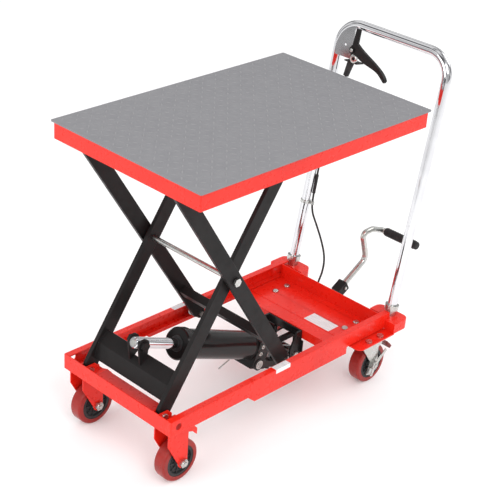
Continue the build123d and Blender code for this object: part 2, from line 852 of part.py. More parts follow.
# ---------------------------------------------------------------- release cable
cable_radius = 2.5
sleeve_bore = 3
route_share = 0.45
cable_route = (
    handle_point(-121.6, 517.4),
    (-373, -134, 608),
    (-362.5, -145, 545),
    (-352.5, -147.4, 480),
    (-342, -146.2, 415),
    (-331.5, -145, 355),
    (-322, -138, 318),
    (-312, -108, 291),
    (-301, -78, 262),
    (-292, -56, 230),
    (-283, -50, 196),
    (-275, -56, 162),
    (-266, -54, 127),
    (-228, -43, 106),
    (-170, -36, 98),
    (-100, -33, 95),
)


def arc_radii(points):
    """Radius at each inner point, so that arcs take a set share of the shorter run."""
    radii = []
    for before, here, after in zip(points, points[1:], points[2:]):
        run_in = Vector(*here) - Vector(*before)
        run_out = Vector(*after) - Vector(*here)
        half_turn = math.radians(run_in.get_angle(run_out)) / 2
        shorter = min(run_in.length, run_out.length)
        radii.append(route_share * shorter / math.tan(half_turn))
    return radii


cable_radii = arc_radii(cable_route)
print("release_cable arc radii:", [round(radius, 1) for radius in cable_radii])

with BuildPart() as release_cable:
    with BuildLine() as cable_line:
        FilletPolyline(*cable_route, radius=cable_radii)
    with BuildSketch(Plane(origin=cable_line.line @ 0, z_dir=cable_line.line % 0)):
        Circle(cable_radius)
    sweep(path=cable_line.line)
release_cable.part.label = "release_cable"
export_step(release_cable.part, "parts/release_cable.step")
cable_length = cable_line.wire().length
cable_volume = math.pi * cable_radius**2 * cable_length
print("release_cable length:", round(cable_length, 1))
print("release_cable volume over section times length:", round(release_cable.part.volume / cable_volume, 4))

# Rubber parts on the cable: the boot at its top end and a sleeve along the handle tube.
boot_radii = (9, 7)
boot_top = Vector(*handle_point(cable_start_y, cable_tab_s - cable_tab_sheet))
boot_bottom = Vector(*cable_route[0])
boot_axis = (boot_bottom - boot_top).normalized()
boot_gap = (2.8, 0.9)
boot_length = (boot_bottom - boot_top).length - sum(boot_gap)
sleeve_start = Vector(*cable_route[4])
sleeve_end = Vector(*cable_route[5])
sleeve_axis = (sleeve_end - sleeve_start).normalized()
sleeve_inset = 6
sleeve_radius = 4.1
with BuildPart() as cable_rubbers:
    boot_plane = Plane(origin=boot_top + boot_axis * boot_gap[0], z_dir=boot_axis)
    with BuildSketch(boot_plane):
        Circle(boot_radii[0])
    with BuildSketch(boot_plane.offset(boot_length)):
        Circle(boot_radii[1])
    loft()
    with BuildSketch(Plane(origin=sleeve_start + sleeve_axis * sleeve_inset, z_dir=sleeve_axis)):
        Circle(sleeve_radius)
        Circle(sleeve_bore, mode=Mode.SUBTRACT)
    extrude(amount=(sleeve_end - sleeve_start).length - 2 * sleeve_inset)
cable_rubbers.part.label = "cable_rubbers"
export_step(cable_rubbers.part, "parts/cable_rubbers.step")

# Metal parts on the cable: the adjuster on its tab, and a band with an eye round the handle.
clip_start = Vector(*cable_route[5])
clip_end = Vector(*cable_route[6])
clip_axis = (clip_end - clip_start).normalized()
clip_middle = (clip_start + clip_end) * 0.5
clip_length = 8
clip_along = (clip_middle.Z - handle_foot_z) / lean_cos
eye_radius = 5
eye_play = 0.1
band_sheet = 1.8
band_web = (6, 6, 4)
band_web_reach = 15
adjuster_nut_radius = 7
adjuster_height = 6
adjuster_stem_radius = 4
adjuster_stem = 8
with BuildPart() as cable_fittings:
    band_plane = Plane(
        origin=handle_point(-handle_half_width, clip_along - clip_length / 2),
        z_dir=(-lean_sin, 0, lean_cos),
    )
    with BuildSketch(band_plane):
        Circle(handle_tube_radius + band_sheet)
    extrude(amount=clip_length)
    with BuildSketch(Plane(origin=clip_middle - clip_axis * (clip_length / 2), z_dir=clip_axis)):
        Circle(eye_radius)
    extrude(amount=clip_length)
    with BuildSketch(handle_plane(-band_web[2])):
        with Locations((-handle_half_width + band_web_reach, clip_along)):
            Rectangle(*band_web[:2])
    extrude(amount=band_web[2])
    with BuildSketch(band_plane.offset(-clip_length)):
        Circle(handle_clearance)
    extrude(amount=3 * clip_length, mode=Mode.SUBTRACT)
    with BuildSketch(Plane(origin=clip_middle - clip_axis * clip_length, z_dir=clip_axis)):
        Circle(cable_radius + eye_play)
    extrude(amount=2 * clip_length, mode=Mode.SUBTRACT)
    adjuster_plane = Plane(
        origin=handle_point(cable_start_y, cable_tab_s), z_dir=(-lean_sin, 0, lean_cos)
    )
    with BuildSketch(adjuster_plane):
        RegularPolygon(adjuster_nut_radius, hexagon)
    extrude(amount=adjuster_height)
    with BuildSketch(adjuster_plane.offset(adjuster_height)):
        Circle(adjuster_stem_radius)
    extrude(amount=adjuster_stem)
cable_fittings.part.label = "cable_fittings"
export_step(cable_fittings.part, "parts/cable_fittings.step")

# ---------------------------------------------------------------- scissor frames
pin_bore = pin_radius + running_gap
arm_half_width = arm_width / 2
arm_taper = 8
arm_frames = (
    ("inner_arms", inner_arm_plane, inner_arm_y),
    ("outer_arms", outer_arm_plane, outer_arm_y),
)
for arms_name, arm_plane, arm_y in arm_frames:
    # Two long flat bars with tapered, rounded ends and three pin holes.
    with BuildPart() as arms:
        with BuildSketch(arm_plane.offset(arm_y)):
            with BuildLine():
                Polyline(
                    (0, arm_end_radius),
                    (arm_taper, arm_half_width),
                    (arm_length - arm_taper, arm_half_width),
                    (arm_length, arm_end_radius),
                )
                ThreePointArc(
                    (arm_length, arm_end_radius),
                    (arm_length + arm_end_radius, 0),
                    (arm_length, -arm_end_radius),
                )
                Polyline(
                    (arm_length, -arm_end_radius),
                    (arm_length - arm_taper, -arm_half_width),
                    (arm_taper, -arm_half_width),
                    (0, -arm_end_radius),
                )
                ThreePointArc((0, -arm_end_radius), (-arm_end_radius, 0), (0, arm_end_radius))
            make_face()
            with Locations((0, 0), (arm_length / 2, 0), (arm_length, 0)):
                Circle(pin_bore, mode=Mode.SUBTRACT)
        extrude(amount=arm_thickness)
        mirror(about=Plane.XZ)
    arms.part.label = arms_name
    export_step(arms.part, f"parts/{arms_name}.step")

# Cross members of the inner frame: a folded plate under the ram and the upper tie tube.
fold_start = 26
fold_ridge = 62
fold_end = 95
fold_height = 9
cross_plate = 4
lug_notch_start = 80
ram_notch_half = 14
tie_radius = 12.5
tie_bore = 10
with BuildPart() as inner_cross_members:
    with BuildSketch(inner_arm_plane):
        with BuildLine():
            Polyline(
                (fold_start, -cross_plate / 2),
                (fold_ridge, fold_height - cross_plate / 2),
                (fold_end, -cross_plate / 2),
                (fold_end, cross_plate / 2),
                (fold_ridge, fold_height + cross_plate / 2),
                (fold_start, cross_plate / 2),
                close=True,
            )
        make_face()
    extrude(amount=inner_arm_y, both=True)
    with BuildSketch(inner_arm_plane):
        with Locations(((lug_notch_start + fold_end + 1) / 2, 0)):
            Rectangle(fold_end + 1 - lug_notch_start, 4 * fold_height)
    extrude(amount=ram_notch_half, both=True, mode=Mode.SUBTRACT)
    # Round tie tube between the upper ends of the arms.
    with BuildSketch(xz(inner_arm_y)):
        with Locations((roller_x, upper_pivot_z)):
            Circle(tie_radius)
            Circle(tie_bore, mode=Mode.SUBTRACT)
    extrude(amount=2 * inner_arm_y)
inner_cross_members.part.label = "inner_cross_members"
export_step(inner_cross_members.part, "parts/inner_cross_members.step")

lug_thickness = 5
lug_radius = 15
lug_bolt_radius = 8
fold_slope = -fold_height / (fold_end - fold_ridge)


def plate_top(along):
    """Height of the cross plate's upper face behind its ridge."""
    return fold_height + cross_plate / 2 + fold_slope * (along - fold_ridge)


with BuildPart() as rod_lugs:
    lug_reach = lug_radius / math.sqrt(2)
    with BuildSketch(inner_arm_plane.offset(ram_notch_half)):
        with BuildLine():
            Polyline(
                (66, plate_top(66)),
                (92, plate_top(92)),
                (lug_pin_along + lug_reach, lug_pin_offset - lug_reach),
                (lug_pin_along - lug_reach, lug_pin_offset + lug_reach),
                close=True,
            )
        make_face()
        with Locations((lug_pin_along, lug_pin_offset)):
            Circle(lug_radius)
    extrude(amount=lug_thickness)
    # Bolt in each lug.
    with BuildSketch(inner_arm_plane.offset(ram_notch_half + lug_thickness)):
        with Locations((lug_pin_along, lug_pin_offset)):
            RegularPolygon(11, 6)
    extrude(amount=7)
    mirror(about=Plane.XZ)
rod_lugs.part.label = "rod_lugs"
export_step(rod_lugs.part, "parts/rod_lugs.step")

# Through rod of the middle pivot, with a nut on each end.
centre_rod_half = 143
with BuildPart() as centre_rod:
    with BuildSketch(xz(centre_rod_half + 6)):
        with Locations((centre_x, centre_z)):
            Circle(pin_radius)
    extrude(amount=2 * (centre_rod_half + 6))
    with BuildSketch(xz(centre_rod_half + 6)):
        with Locations((centre_x, centre_z)):
            RegularPolygon(10, 6)
            Circle(pin_radius, mode=Mode.SUBTRACT)
    extrude(amount=5.5)
    with BuildSketch(xz(-centre_rod_half - 0.5)):
        with Locations((centre_x, centre_z)):
            RegularPolygon(10, 6)
            Circle(pin_radius, mode=Mode.SUBTRACT)
    extrude(amount=5.5)
centre_rod.part.label = "centre_rod"
export_step(centre_rod.part, "parts/centre_rod.step")

guide_web_y = 157
guide_sheet = 2
upper_roller_y = 146
roller_width = 10
roller_gap = 0.3
axle_collar_radius = 9
with BuildPart() as upper_roller_axles:
    with BuildSketch(xz(guide_web_y - roller_gap)):
        with Locations((roller_x, upper_pivot_z)):
            Circle(pin_radius)
    extrude(amount=guide_web_y - roller_gap - inner_arm_y + 4)
    with BuildSketch(xz(upper_roller_y - roller_gap)):
        with Locations((roller_x, upper_pivot_z)):
            Circle(axle_collar_radius)
    extrude(amount=upper_roller_y - roller_gap - inner_arm_y - arm_thickness)
    mirror(about=Plane.XZ)
upper_roller_axles.part.label = "upper_roller_axles"
export_step(upper_roller_axles.part, "parts/upper_roller_axles.step")

lower_roller_y = 158
with BuildPart() as lower_roller_axles:
    with BuildSketch(xz(web_inner_y - 1)):
        with Locations((roller_x, lower_pivot_z)):
            Circle(pin_radius)
    extrude(amount=web_inner_y - 1 - outer_arm_y + 4)
    with BuildSketch(xz(lower_roller_y - roller_gap)):
        with Locations((roller_x, lower_pivot_z)):
            Circle(axle_collar_radius)
    extrude(amount=lower_roller_y - roller_gap - outer_arm_y - arm_thickness)
    mirror(about=Plane.XZ)
lower_roller_axles.part.label = "lower_roller_axles"
export_step(lower_roller_axles.part, "parts/lower_roller_axles.step")

# Square cross tube between the outer arms, near their lower ends.
cross_tube_along = arm_length - 105
cross_tube_offset = -5
cross_tube_side = 20
cross_tube_wall = 2
with BuildPart() as outer_cross_tube:
    with BuildSketch(outer_arm_plane):
        with Locations((cross_tube_along, cross_tube_offset)):
            Rectangle(cross_tube_side, cross_tube_side)
            Rectangle(
                cross_tube_side - 2 * cross_tube_wall,
                cross_tube_side - 2 * cross_tube_wall,
                mode=Mode.SUBTRACT,
            )
    extrude(amount=outer_arm_y, both=True)
outer_cross_tube.part.label = "outer_cross_tube"
export_step(outer_cross_tube.part, "parts/outer_cross_tube.step")

rollers = (
    ("upper", upper_roller_y, upper_pivot_z),
    ("lower", lower_roller_y, lower_pivot_z),
)
for roller_name, roller_y, roller_z in rollers:
    for side_name, side in sides:
        middle_y = side * (roller_y + roller_width / 2)
        with BuildPart() as roller:
            with BuildSketch(xz(middle_y + roller_width / 2)):
                with Locations((roller_x, roller_z)):
                    Circle(roller_radius)
                    Circle(pin_bore, mode=Mode.SUBTRACT)
            extrude(amount=roller_width)
            chamfer(roller.edges().filter_by(GeomType.CIRCLE).sort_by(SortBy.RADIUS)[-2:], length=1)
        roller.part.label = f"{roller_name}_roller_{side_name}"
        export_step(roller.part, f"parts/{roller_name}_roller_{side_name}.step")

# ---------------------------------------------------------------- platform
with BuildPart() as platform_pan:
    with Locations((table_centre_x, 0, deck_top_z)):
        Box(
            table_length - 2 * rim_inset,
            table_width - 2 * rim_inset,
            rim_height,
            align=(Align.CENTER, Align.CENTER, Align.MAX),
        )
    with Locations((table_centre_x, 0, deck_bottom_z)):
        Box(
            table_length - 2 * rim_inset - 2 * pan_sheet,
            table_width - 2 * rim_inset - 2 * pan_sheet,
            rim_height,
            align=(Align.CENTER, Align.CENTER, Align.MAX),
            mode=Mode.SUBTRACT,
        )
    fillet(platform_pan.edges().filter_by(Axis.Z).group_by(SortBy.LENGTH)[-1], radius=2.5)
platform_pan.part.label = "platform_pan"
export_step(platform_pan.part, "parts/platform_pan.step")

with BuildPart() as platform_mat:
    with Locations((table_centre_x, 0, deck_top_z)):
        Box(table_length, table_width, mat_thickness, align=(Align.CENTER, Align.CENTER, Align.MIN))
    fillet(platform_mat.edges().filter_by(Axis.Z), radius=4)
platform_mat.part.label = "platform_mat"
export_step(platform_mat.part, "parts/platform_mat.step")

upper_bracket_x = 394
upper_bracket_length = 34
upper_bracket_ys = (126, 144)
rim_bottom_z = deck_top_z - rim_height
with BuildPart() as platform_brackets:
    for plate_y in upper_bracket_ys:
        with BuildSketch(xz(plate_y + bracket_thickness)):
            with BuildLine():
                Polyline(
                    (upper_bracket_x, deck_bottom_z),
                    (upper_bracket_x + upper_bracket_length, deck_bottom_z),
                    (upper_bracket_x + upper_bracket_length, rim_bottom_z + 9),
                    (upper_bracket_x + upper_bracket_length - 8, rim_bottom_z + 1),
                    (upper_bracket_x + 8, rim_bottom_z + 1),
                    (upper_bracket_x, rim_bottom_z + 9),
                    close=True,
                )
            make_face()
            with Locations((pivot_x, upper_pivot_z)):
                Circle(pin_bore, mode=Mode.SUBTRACT)
        extrude(amount=bracket_thickness)
    mirror(about=Plane.XZ)
platform_brackets.part.label = "platform_brackets"
export_step(platform_brackets.part, "parts/platform_brackets.step")

with BuildPart() as upper_pivot_pins:
    pin_end_y = upper_bracket_ys[1] + bracket_thickness
    with BuildSketch(xz(pin_end_y)):
        with Locations((pivot_x, upper_pivot_z)):
            Circle(pin_radius)
    extrude(amount=pin_end_y - upper_bracket_ys[0])
    with BuildSketch(xz(pin_end_y + pin_head)):
        with Locations((pivot_x, upper_pivot_z)):
            Circle(pin_head_radius)
    extrude(amount=pin_head)
    fillet(upper_pivot_pins.edges().group_by(Axis.Y)[-1], radius=1.5)
    mirror(about=Plane.XZ)
upper_pivot_pins.part.label = "upper_pivot_pins"
export_step(upper_pivot_pins.part, "parts/upper_pivot_pins.step")

# Channel guides for the upper rollers, open towards the middle.
guide_rear_x = -248
guide_front_x = 78
guide_inner_y = 145
guide_top_sheet = 3
with BuildPart() as roller_guides:
    with BuildSketch(Plane.YZ.offset(guide_rear_x)):
        with BuildLine():
            Polyline(
                (guide_inner_y, deck_bottom_z),
                (guide_web_y + guide_sheet, deck_bottom_z),
                (guide_web_y + guide_sheet, rim_bottom_z),
                (guide_inner_y, rim_bottom_z),
                (guide_inner_y, rim_bottom_z + guide_sheet),
                (guide_web_y, rim_bottom_z + guide_sheet),
                (guide_web_y, deck_bottom_z - guide_top_sheet),
                (guide_inner_y, deck_bottom_z - guide_top_sheet),
                close=True,
            )
        make_face()
    extrude(amount=guide_front_x - guide_rear_x)
    mirror(about=Plane.XZ)
roller_guides.part.label = "roller_guides"
export_step(roller_guides.part, "parts/roller_guides.step")

# ---------------------------------------------------------------- pump and ram
hanger_leg_y = 50
hanger_thickness = 5
hanger_bottom_z = 66
hanger_foot = 8
hanger_front_x = -62
hanger_front_z = cylinder_base_z + 20
hanger_top_z = 142
hanger_shoulder = 18
hanger_bridge = (4, 20)
hanger_flange_x = tray_front_x + 4
hanger_flange_y = (30, 61)
hanger_flange_z = (84, 116)
pump_pin_radius = 7
pump_pin_head_radius = 8.5
cable_stop_thickness = 3
cable_stop_size = (9, 50)
cable_stop_rise = 15
cable_stop_play = 0.4
with BuildPart() as pump_hanger:
    with BuildSketch(xz(hanger_leg_y + hanger_thickness)):
        with BuildLine():
            Polyline(
                (tray_front_x, hanger_top_z),
                (tray_front_x, cylinder_base_z),
                (cylinder_base_x - hanger_foot, hanger_bottom_z),
                (cylinder_base_x + hanger_foot, hanger_bottom_z),
                (hanger_front_x, cylinder_base_z),
                (hanger_front_x, hanger_front_z),
                (tray_front_x + hanger_shoulder, hanger_top_z),
                close=True,
            )
        make_face()
        with Locations((cylinder_base_x, cylinder_base_z)):
            Circle(pump_pin_radius + running_gap, mode=Mode.SUBTRACT)
    extrude(amount=hanger_thickness)
    # Flange turned out at the rear edge of each leg.
    with Locations((tray_front_x, hanger_flange_y[0], hanger_flange_z[0])):
        Box(
            hanger_flange_x - tray_front_x,
            hanger_flange_y[1] - hanger_flange_y[0],
            hanger_flange_z[1] - hanger_flange_z[0],
            align=(Align.MIN, Align.MIN, Align.MIN),
        )
    mirror(about=Plane.XZ)
    # Bridge between the legs, against the tray's front flange.
    with Locations((tray_front_x, 0, hanger_top_z)):
        Box(
            hanger_bridge[0],
            2 * hanger_leg_y,
            hanger_bridge[1],
            align=(Align.MIN, Align.CENTER, Align.MAX),
        )
    # Stop plate behind the flange, which holds the lower end of the release cable.
    with BuildSketch(Plane.YZ.offset(tray_front_x - tray_wall - cable_stop_thickness)):
        with Locations((cable_route[-1][1], cable_route[-1][2] + cable_stop_rise)):
            Rectangle(*cable_stop_size)
        with Locations((cable_route[-1][1], cable_route[-1][2])):
            Circle(cable_radius + cable_stop_play, mode=Mode.SUBTRACT)
    extrude(amount=cable_stop_thickness)
pump_hanger.part.label = "pump_hanger"
export_step(pump_hanger.part, "parts/pump_hanger.step")

# Fixed pins: one in each lower pivot bracket and a long one that carries the pump.
pump_pin_half = hanger_leg_y + hanger_thickness
pin_rounding = 1.5
with BuildPart() as base_pins:
    with BuildSketch(xz(outer_bracket_y + bracket_thickness)):
        with Locations((pivot_x, lower_pivot_z)):
            Circle(pin_radius)
    extrude(amount=outer_bracket_y + bracket_thickness - inner_bracket_y + pin_head)
    with BuildSketch(xz(outer_bracket_y + bracket_thickness + pin_head)):
        with Locations((pivot_x, lower_pivot_z)):
            Circle(pin_head_radius)
    extrude(amount=pin_head)
    fillet(base_pins.edges().group_by(Axis.Y)[-1], radius=pin_rounding)
    with BuildSketch(xz(pump_pin_half)):
        with Locations((cylinder_base_x, cylinder_base_z)):
            Circle(pump_pin_radius)
    extrude(amount=pump_pin_half)
    with BuildSketch(xz(pump_pin_half + pin_head)):
        with Locations((cylinder_base_x, cylinder_base_z)):
            Circle(pump_pin_head_radius)
    extrude(amount=pin_head)
    mirror(about=Plane.XZ)
base_pins.part.label = "base_pins"
export_step(base_pins.part, "parts/base_pins.step")

tube_start = 120
tube_end = 345
tube_radius = 34
tube_bore = 29
tube_floor = 8
cap_end = 370
cap_radius = 37.5
cap_chamfer = 3
rod_radius = 12.5
with BuildPart() as cylinder_tube:
    with BuildSketch(ram_section(tube_start)):
        Circle(tube_radius)
    extrude(amount=tube_end - tube_start)
    with BuildSketch(ram_section(tube_end)):
        Circle(cap_radius)
    extrude(amount=cap_end - tube_end)
    chamfer(
        cylinder_tube.edges().filter_by(GeomType.CIRCLE).sort_by(SortBy.RADIUS)[-2:],
        length=cap_chamfer,
    )
    with BuildSketch(ram_section(tube_start + tube_floor)):
        Circle(tube_bore)
    extrude(amount=tube_end - tube_start - tube_floor, mode=Mode.SUBTRACT)
    with BuildSketch(ram_section(tube_end)):
        Circle(rod_radius + running_gap)
    extrude(amount=cap_end - tube_end, mode=Mode.SUBTRACT)
cylinder_tube.part.label = "cylinder_tube"
export_step(cylinder_tube.part, "parts/cylinder_tube.step")

rod_beyond = 16
rod_chamfer = 2
piston_play = 0.1
piston_width = 16
piston_rear = 322
with BuildPart() as piston_rod:
    with BuildSketch(ram_section(piston_rear)):
        Circle(tube_bore - piston_play)
    extrude(amount=piston_width)
    with BuildSketch(ram_section(piston_rear + piston_width)):
        Circle(rod_radius)
    extrude(amount=ram_length + rod_beyond - piston_rear - piston_width)
    chamfer(piston_rod.faces().filter_by(GeomType.PLANE).sort_by(Axis.X)[-1].edges(), length=rod_chamfer)
piston_rod.part.label = "piston_rod"
export_step(piston_rod.part, "parts/piston_rod.step")

# Pump block: yoke on the pin, valve block, lower reservoir and plunger barrel.
lever_pivot_x = 10
lever_pivot_z = 110
lever_slot = (7, 21)
lever_slot_floor = ((-110, 86), (24, 103))
lever_slot_top = 190
lever_slot_middle = (lever_slot[0] + lever_slot[1]) / 2
lever_pin_seat = 5
lever_pin_seat_depth = 6
yoke_half_width = 27
yoke_box = ((-16, -22), (22, 12))
near_face_y = 36
far_face_y = -31
shelf_y = 5
shelf_box = ((22, -40), (120, -24))
far_cheek_box = ((22, -40), (120, 30))
near_cheek_box = ((82, -24), (120, 22))
belly_box = ((66, -48), (118, -40))
belly_half_width = 30
plunger_along = 50
plunger_y = lever_slot_middle
barrel_radius = 15
barrel_top = -22
barrel_bottom = -48
barrel_bore_depth = 22
plunger_stem_radius = 5
boss_along = 100
boss_height = -34
boss_radius = 15
boss_face_y = 38
plug_radius = 11
plug_depth = 6
yoke_bore_half = 37


def side_box(corners):
    """Rectangle in the ram's side view from two of its corners."""
    with Locations(corners[0]):
        Rectangle(
            corners[1][0] - corners[0][0],
            corners[1][1] - corners[0][1],
            align=(Align.MIN, Align.MIN),
        )


with BuildPart() as pump_block:
    with BuildSketch(ram_plane):
        side_box(yoke_box)
    extrude(amount=yoke_half_width, both=True)
    with BuildSketch(ram_plane.offset(-shelf_y)):
        side_box(far_cheek_box)
    extrude(amount=shelf_y - far_face_y)
    # Low shelf that carries the plunger barrel.
    with BuildSketch(ram_plane.offset(-near_face_y)):
        side_box(shelf_box)
    extrude(amount=near_face_y - shelf_y)
    # Near cheek with the pedal's pivot.
    with BuildSketch(ram_plane.offset(-near_face_y)):
        side_box(near_cheek_box)
    extrude(amount=near_face_y - shelf_y)
    with BuildSketch(ram_plane):
        side_box(belly_box)
    extrude(amount=belly_half_width, both=True)
    # Barrel of the plunger, square to the ram.
    barrel_foot = Plane(
        origin=ram_point(plunger_along, plunger_y, barrel_bottom), z_dir=(-ram_sin, 0, ram_cos)
    )
    with BuildSketch(barrel_foot):
        Circle(barrel_radius)
    extrude(amount=barrel_top - barrel_bottom)
    # Boss of the suction valve, which faces to the near side.
    boss_face = ram_plane.offset(-boss_face_y)
    with BuildSketch(boss_face):
        with Locations((boss_along, boss_height)):
            Circle(boss_radius)
    extrude(amount=boss_face_y)
    # Slot for the pedal bar.
    with BuildSketch(xz(lever_slot[1])):
        with BuildLine():
            Polyline(
                *lever_slot_floor,
                (lever_slot_floor[1][0], lever_slot_top),
                (lever_slot_floor[0][0], lever_slot_top),
                close=True,
            )
        make_face()
    extrude(amount=lever_slot[1] - lever_slot[0], mode=Mode.SUBTRACT)
    with BuildSketch(xz(yoke_bore_half)):
        with Locations((cylinder_base_x, cylinder_base_z)):
            Circle(pump_pin_radius + running_gap)
    extrude(amount=2 * yoke_bore_half, mode=Mode.SUBTRACT)
    with BuildSketch(barrel_foot.offset(barrel_top - barrel_bottom)):
        Circle(plunger_stem_radius + running_gap)
    extrude(amount=-barrel_bore_depth, mode=Mode.SUBTRACT)
    with BuildSketch(boss_face):
        with Locations((boss_along, boss_height)):
            Circle(plug_radius)
    extrude(amount=plug_depth, mode=Mode.SUBTRACT)
    # Seat of the pedal's pin.
    with BuildSketch(xz(lever_slot[1] + lever_pin_seat_depth)):
        with Locations((lever_pivot_x, lever_pivot_z)):
            Circle(lever_pin_seat)
    extrude(amount=lever_slot[1] - lever_slot[0] + 2 * lever_pin_seat_depth, mode=Mode.SUBTRACT)
pump_block.part.label = "pump_block"
export_step(pump_block.part, "parts/pump_block.step")

# Plunger: stem in the barrel and a head under the pedal bar.
plunger_head = 4
plunger_head_radius = 9
plunger_stem_depth = 30
spring_radii = (8.5, 6)
plunger_top = Plane(origin=ram_point(plunger_along, plunger_y, 0), z_dir=(ram_sin, 0, -ram_cos))
with BuildPart() as plunger:
    with BuildSketch(plunger_top):
        Circle(plunger_head_radius)
    extrude(amount=plunger_head)
    with BuildSketch(plunger_top.offset(plunger_head)):
        Circle(plunger_stem_radius)
    extrude(amount=plunger_stem_depth)
plunger.part.label = "plunger"
export_step(plunger.part, "parts/plunger.step")

# Return spring between the barrel and the plunger's head.
with BuildPart() as pump_spring:
    with BuildSketch(plunger_top.offset(plunger_head)):
        Circle(spring_radii[0])
        Circle(spring_radii[1], mode=Mode.SUBTRACT)
    extrude(amount=-barrel_top - plunger_head)
pump_spring.part.label = "pump_spring"
export_step(pump_spring.part, "parts/pump_spring.step")

# Release valve lever on the far side of the block.
valve_along = 42
valve_height = 2
valve_gap = 0.5
valve_stem_radius = 4
valve_eye_radius = 8
valve_sheet = 3
valve_nut_radius = 7
valve_nut = 4
valve_arm = ((-5, 0), (5, 0), (-1, 26), (-9, 26))
with BuildPart() as valve_lever:
    with BuildSketch(ram_plane.offset(valve_gap - far_face_y)):
        with BuildLine():
            Polyline(*about(valve_arm, (valve_along, valve_height)), close=True)
        make_face()
        with Locations((valve_along, valve_height)):
            Circle(valve_eye_radius)
            Circle(valve_stem_radius + running_gap, mode=Mode.SUBTRACT)
    extrude(amount=valve_sheet)
valve_lever.part.label = "valve_lever"
export_step(valve_lever.part, "parts/valve_lever.step")

# Valve stem and nut, pedal pin and the ringed plug in the boss.
plug_stand = 1
ring_radii = (3, 7)
ring_half_width = 1
ring_depth = 1.2
valve_stem = valve_sheet + 2 * valve_gap
with BuildPart() as pump_fittings:
    with BuildSketch(ram_plane.offset(-far_face_y)):
        with Locations((valve_along, valve_height)):
            Circle(valve_stem_radius)
    extrude(amount=valve_stem)
    with BuildSketch(ram_plane.offset(valve_stem - far_face_y)):
        with Locations((valve_along, valve_height)):
            RegularPolygon(valve_nut_radius, hexagon)
    extrude(amount=valve_nut)
    with BuildSketch(xz(lever_slot[1] + lever_pin_seat_depth)):
        with Locations((lever_pivot_x, lever_pivot_z)):
            Circle(lever_pin_seat)
    extrude(amount=lever_slot[1] - lever_slot[0] + 2 * lever_pin_seat_depth)
    with BuildSketch(boss_face.offset(-plug_stand)):
        with Locations((boss_along, boss_height)):
            Circle(plug_radius)
    extrude(amount=plug_stand + plug_depth)
    for ring_radius in ring_radii:
        with BuildSketch(boss_face.offset(-plug_stand)):
            with Locations((boss_along, boss_height)):
                Circle(ring_radius + ring_half_width)
                Circle(ring_radius - ring_half_width, mode=Mode.SUBTRACT)
        extrude(amount=ring_depth, mode=Mode.SUBTRACT)
pump_fittings.part.label = "pump_fittings"
export_step(pump_fittings.part, "parts/pump_fittings.step")

# ---------------------------------------------------------------- foot pedal
bar_half_height = 6
bar_eye_radius = 8
bar_rear_x = -265
riser_depth = 18
riser_foot_z = lever_pivot_z + 8
riser_top_z = 165
pedal_y = lever_slot_middle
bar_half_width = 5
socket_side = 24
socket_length = 32
socket_slope = 31
socket_x = -278.9
socket_z = 176.7
socket_cos = math.cos(math.radians(socket_slope))
socket_sin = math.sin(math.radians(socket_slope))
with BuildPart() as pedal_lever:
    with BuildSketch(xz(pedal_y + bar_half_width)):
        with BuildLine():
            Polyline(
                (lever_pivot_x, lever_pivot_z - bar_half_height),
                (bar_rear_x, lever_pivot_z - bar_half_height),
                (bar_rear_x - riser_depth, riser_foot_z),
                (bar_rear_x - riser_depth, riser_top_z),
                (bar_rear_x, riser_top_z),
                (bar_rear_x, lever_pivot_z + bar_half_height),
                (lever_pivot_x, lever_pivot_z + bar_half_height),
                close=True,
            )
        make_face()
        with Locations((lever_pivot_x, lever_pivot_z)):
            Circle(bar_eye_radius)
            Circle(lever_pin_seat + running_gap, mode=Mode.SUBTRACT)
    extrude(amount=2 * bar_half_width)
    # Square socket for the pedal's tube.
    with BuildSketch(xz(pedal_y + socket_side / 2)):
        with Locations(Location((socket_x, socket_z), -socket_slope)):
            Rectangle(socket_length, socket_side)
    extrude(amount=socket_side)
pedal_lever.part.label = "pedal_lever"
export_step(pedal_lever.part, "parts/pedal_lever.step")

pedal_tube_radius = 7.5
pedal_tube_wall = 2
socket_seam = 0.4
grip_x = -424
grip_z = 292
grip_start_y = 25
grip_end_y = 123
grip_radius = 10
grip_rib = 1
grip_end_wall = 3
pedal_bends = ((-368, 231), (-344, 307.5), (-380, 308.5))
pedal_bend_radii = (22, 12, 30, 10)
with BuildPart() as pedal_tube:
    with BuildLine() as pedal_line:
        FilletPolyline(
            (
                socket_x - (socket_length / 2 + socket_seam) * socket_cos,
                pedal_y,
                socket_z + (socket_length / 2 + socket_seam) * socket_sin,
            ),
            *((bend[0], pedal_y, bend[1]) for bend in pedal_bends),
            (grip_x, pedal_y, grip_z),
            (grip_x, grip_end_y - grip_end_wall, grip_z),
            radius=pedal_bend_radii,
        )
    with BuildSketch(Plane(origin=pedal_line.line @ 0, z_dir=pedal_line.line % 0)):
        Circle(pedal_tube_radius)
        Circle(pedal_tube_radius - pedal_tube_wall, mode=Mode.SUBTRACT)
    sweep(path=pedal_line.line)
pedal_tube.part.label = "pedal_tube"
export_step(pedal_tube.part, "parts/pedal_tube.step")

# Ribbed rubber grip with a closed end.
rib_pitch = 7
rib_count = 13
rib_width = 3
first_rib = 7
with BuildPart() as pedal_grip:
    with BuildSketch(xz(grip_end_y)):
        with Locations((grip_x, grip_z)):
            Circle(grip_radius)
    extrude(amount=grip_end_y - grip_start_y)
    for rib in range(rib_count):
        with BuildSketch(xz(grip_start_y + first_rib + rib * rib_pitch)):
            with Locations((grip_x, grip_z)):
                Circle(grip_radius + grip_rib)
        extrude(amount=rib_width)
    with BuildSketch(xz(grip_end_y - grip_end_wall)):
        with Locations((grip_x, grip_z)):
            Circle(pedal_tube_radius)
    extrude(amount=grip_end_y - grip_end_wall - grip_start_y, mode=Mode.SUBTRACT)
pedal_grip.part.label = "pedal_grip"
export_step(pedal_grip.part, "parts/pedal_grip.step")
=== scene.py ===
import json
import math

import bmesh
import bpy
from mathutils import Matrix, Quaternion, Vector


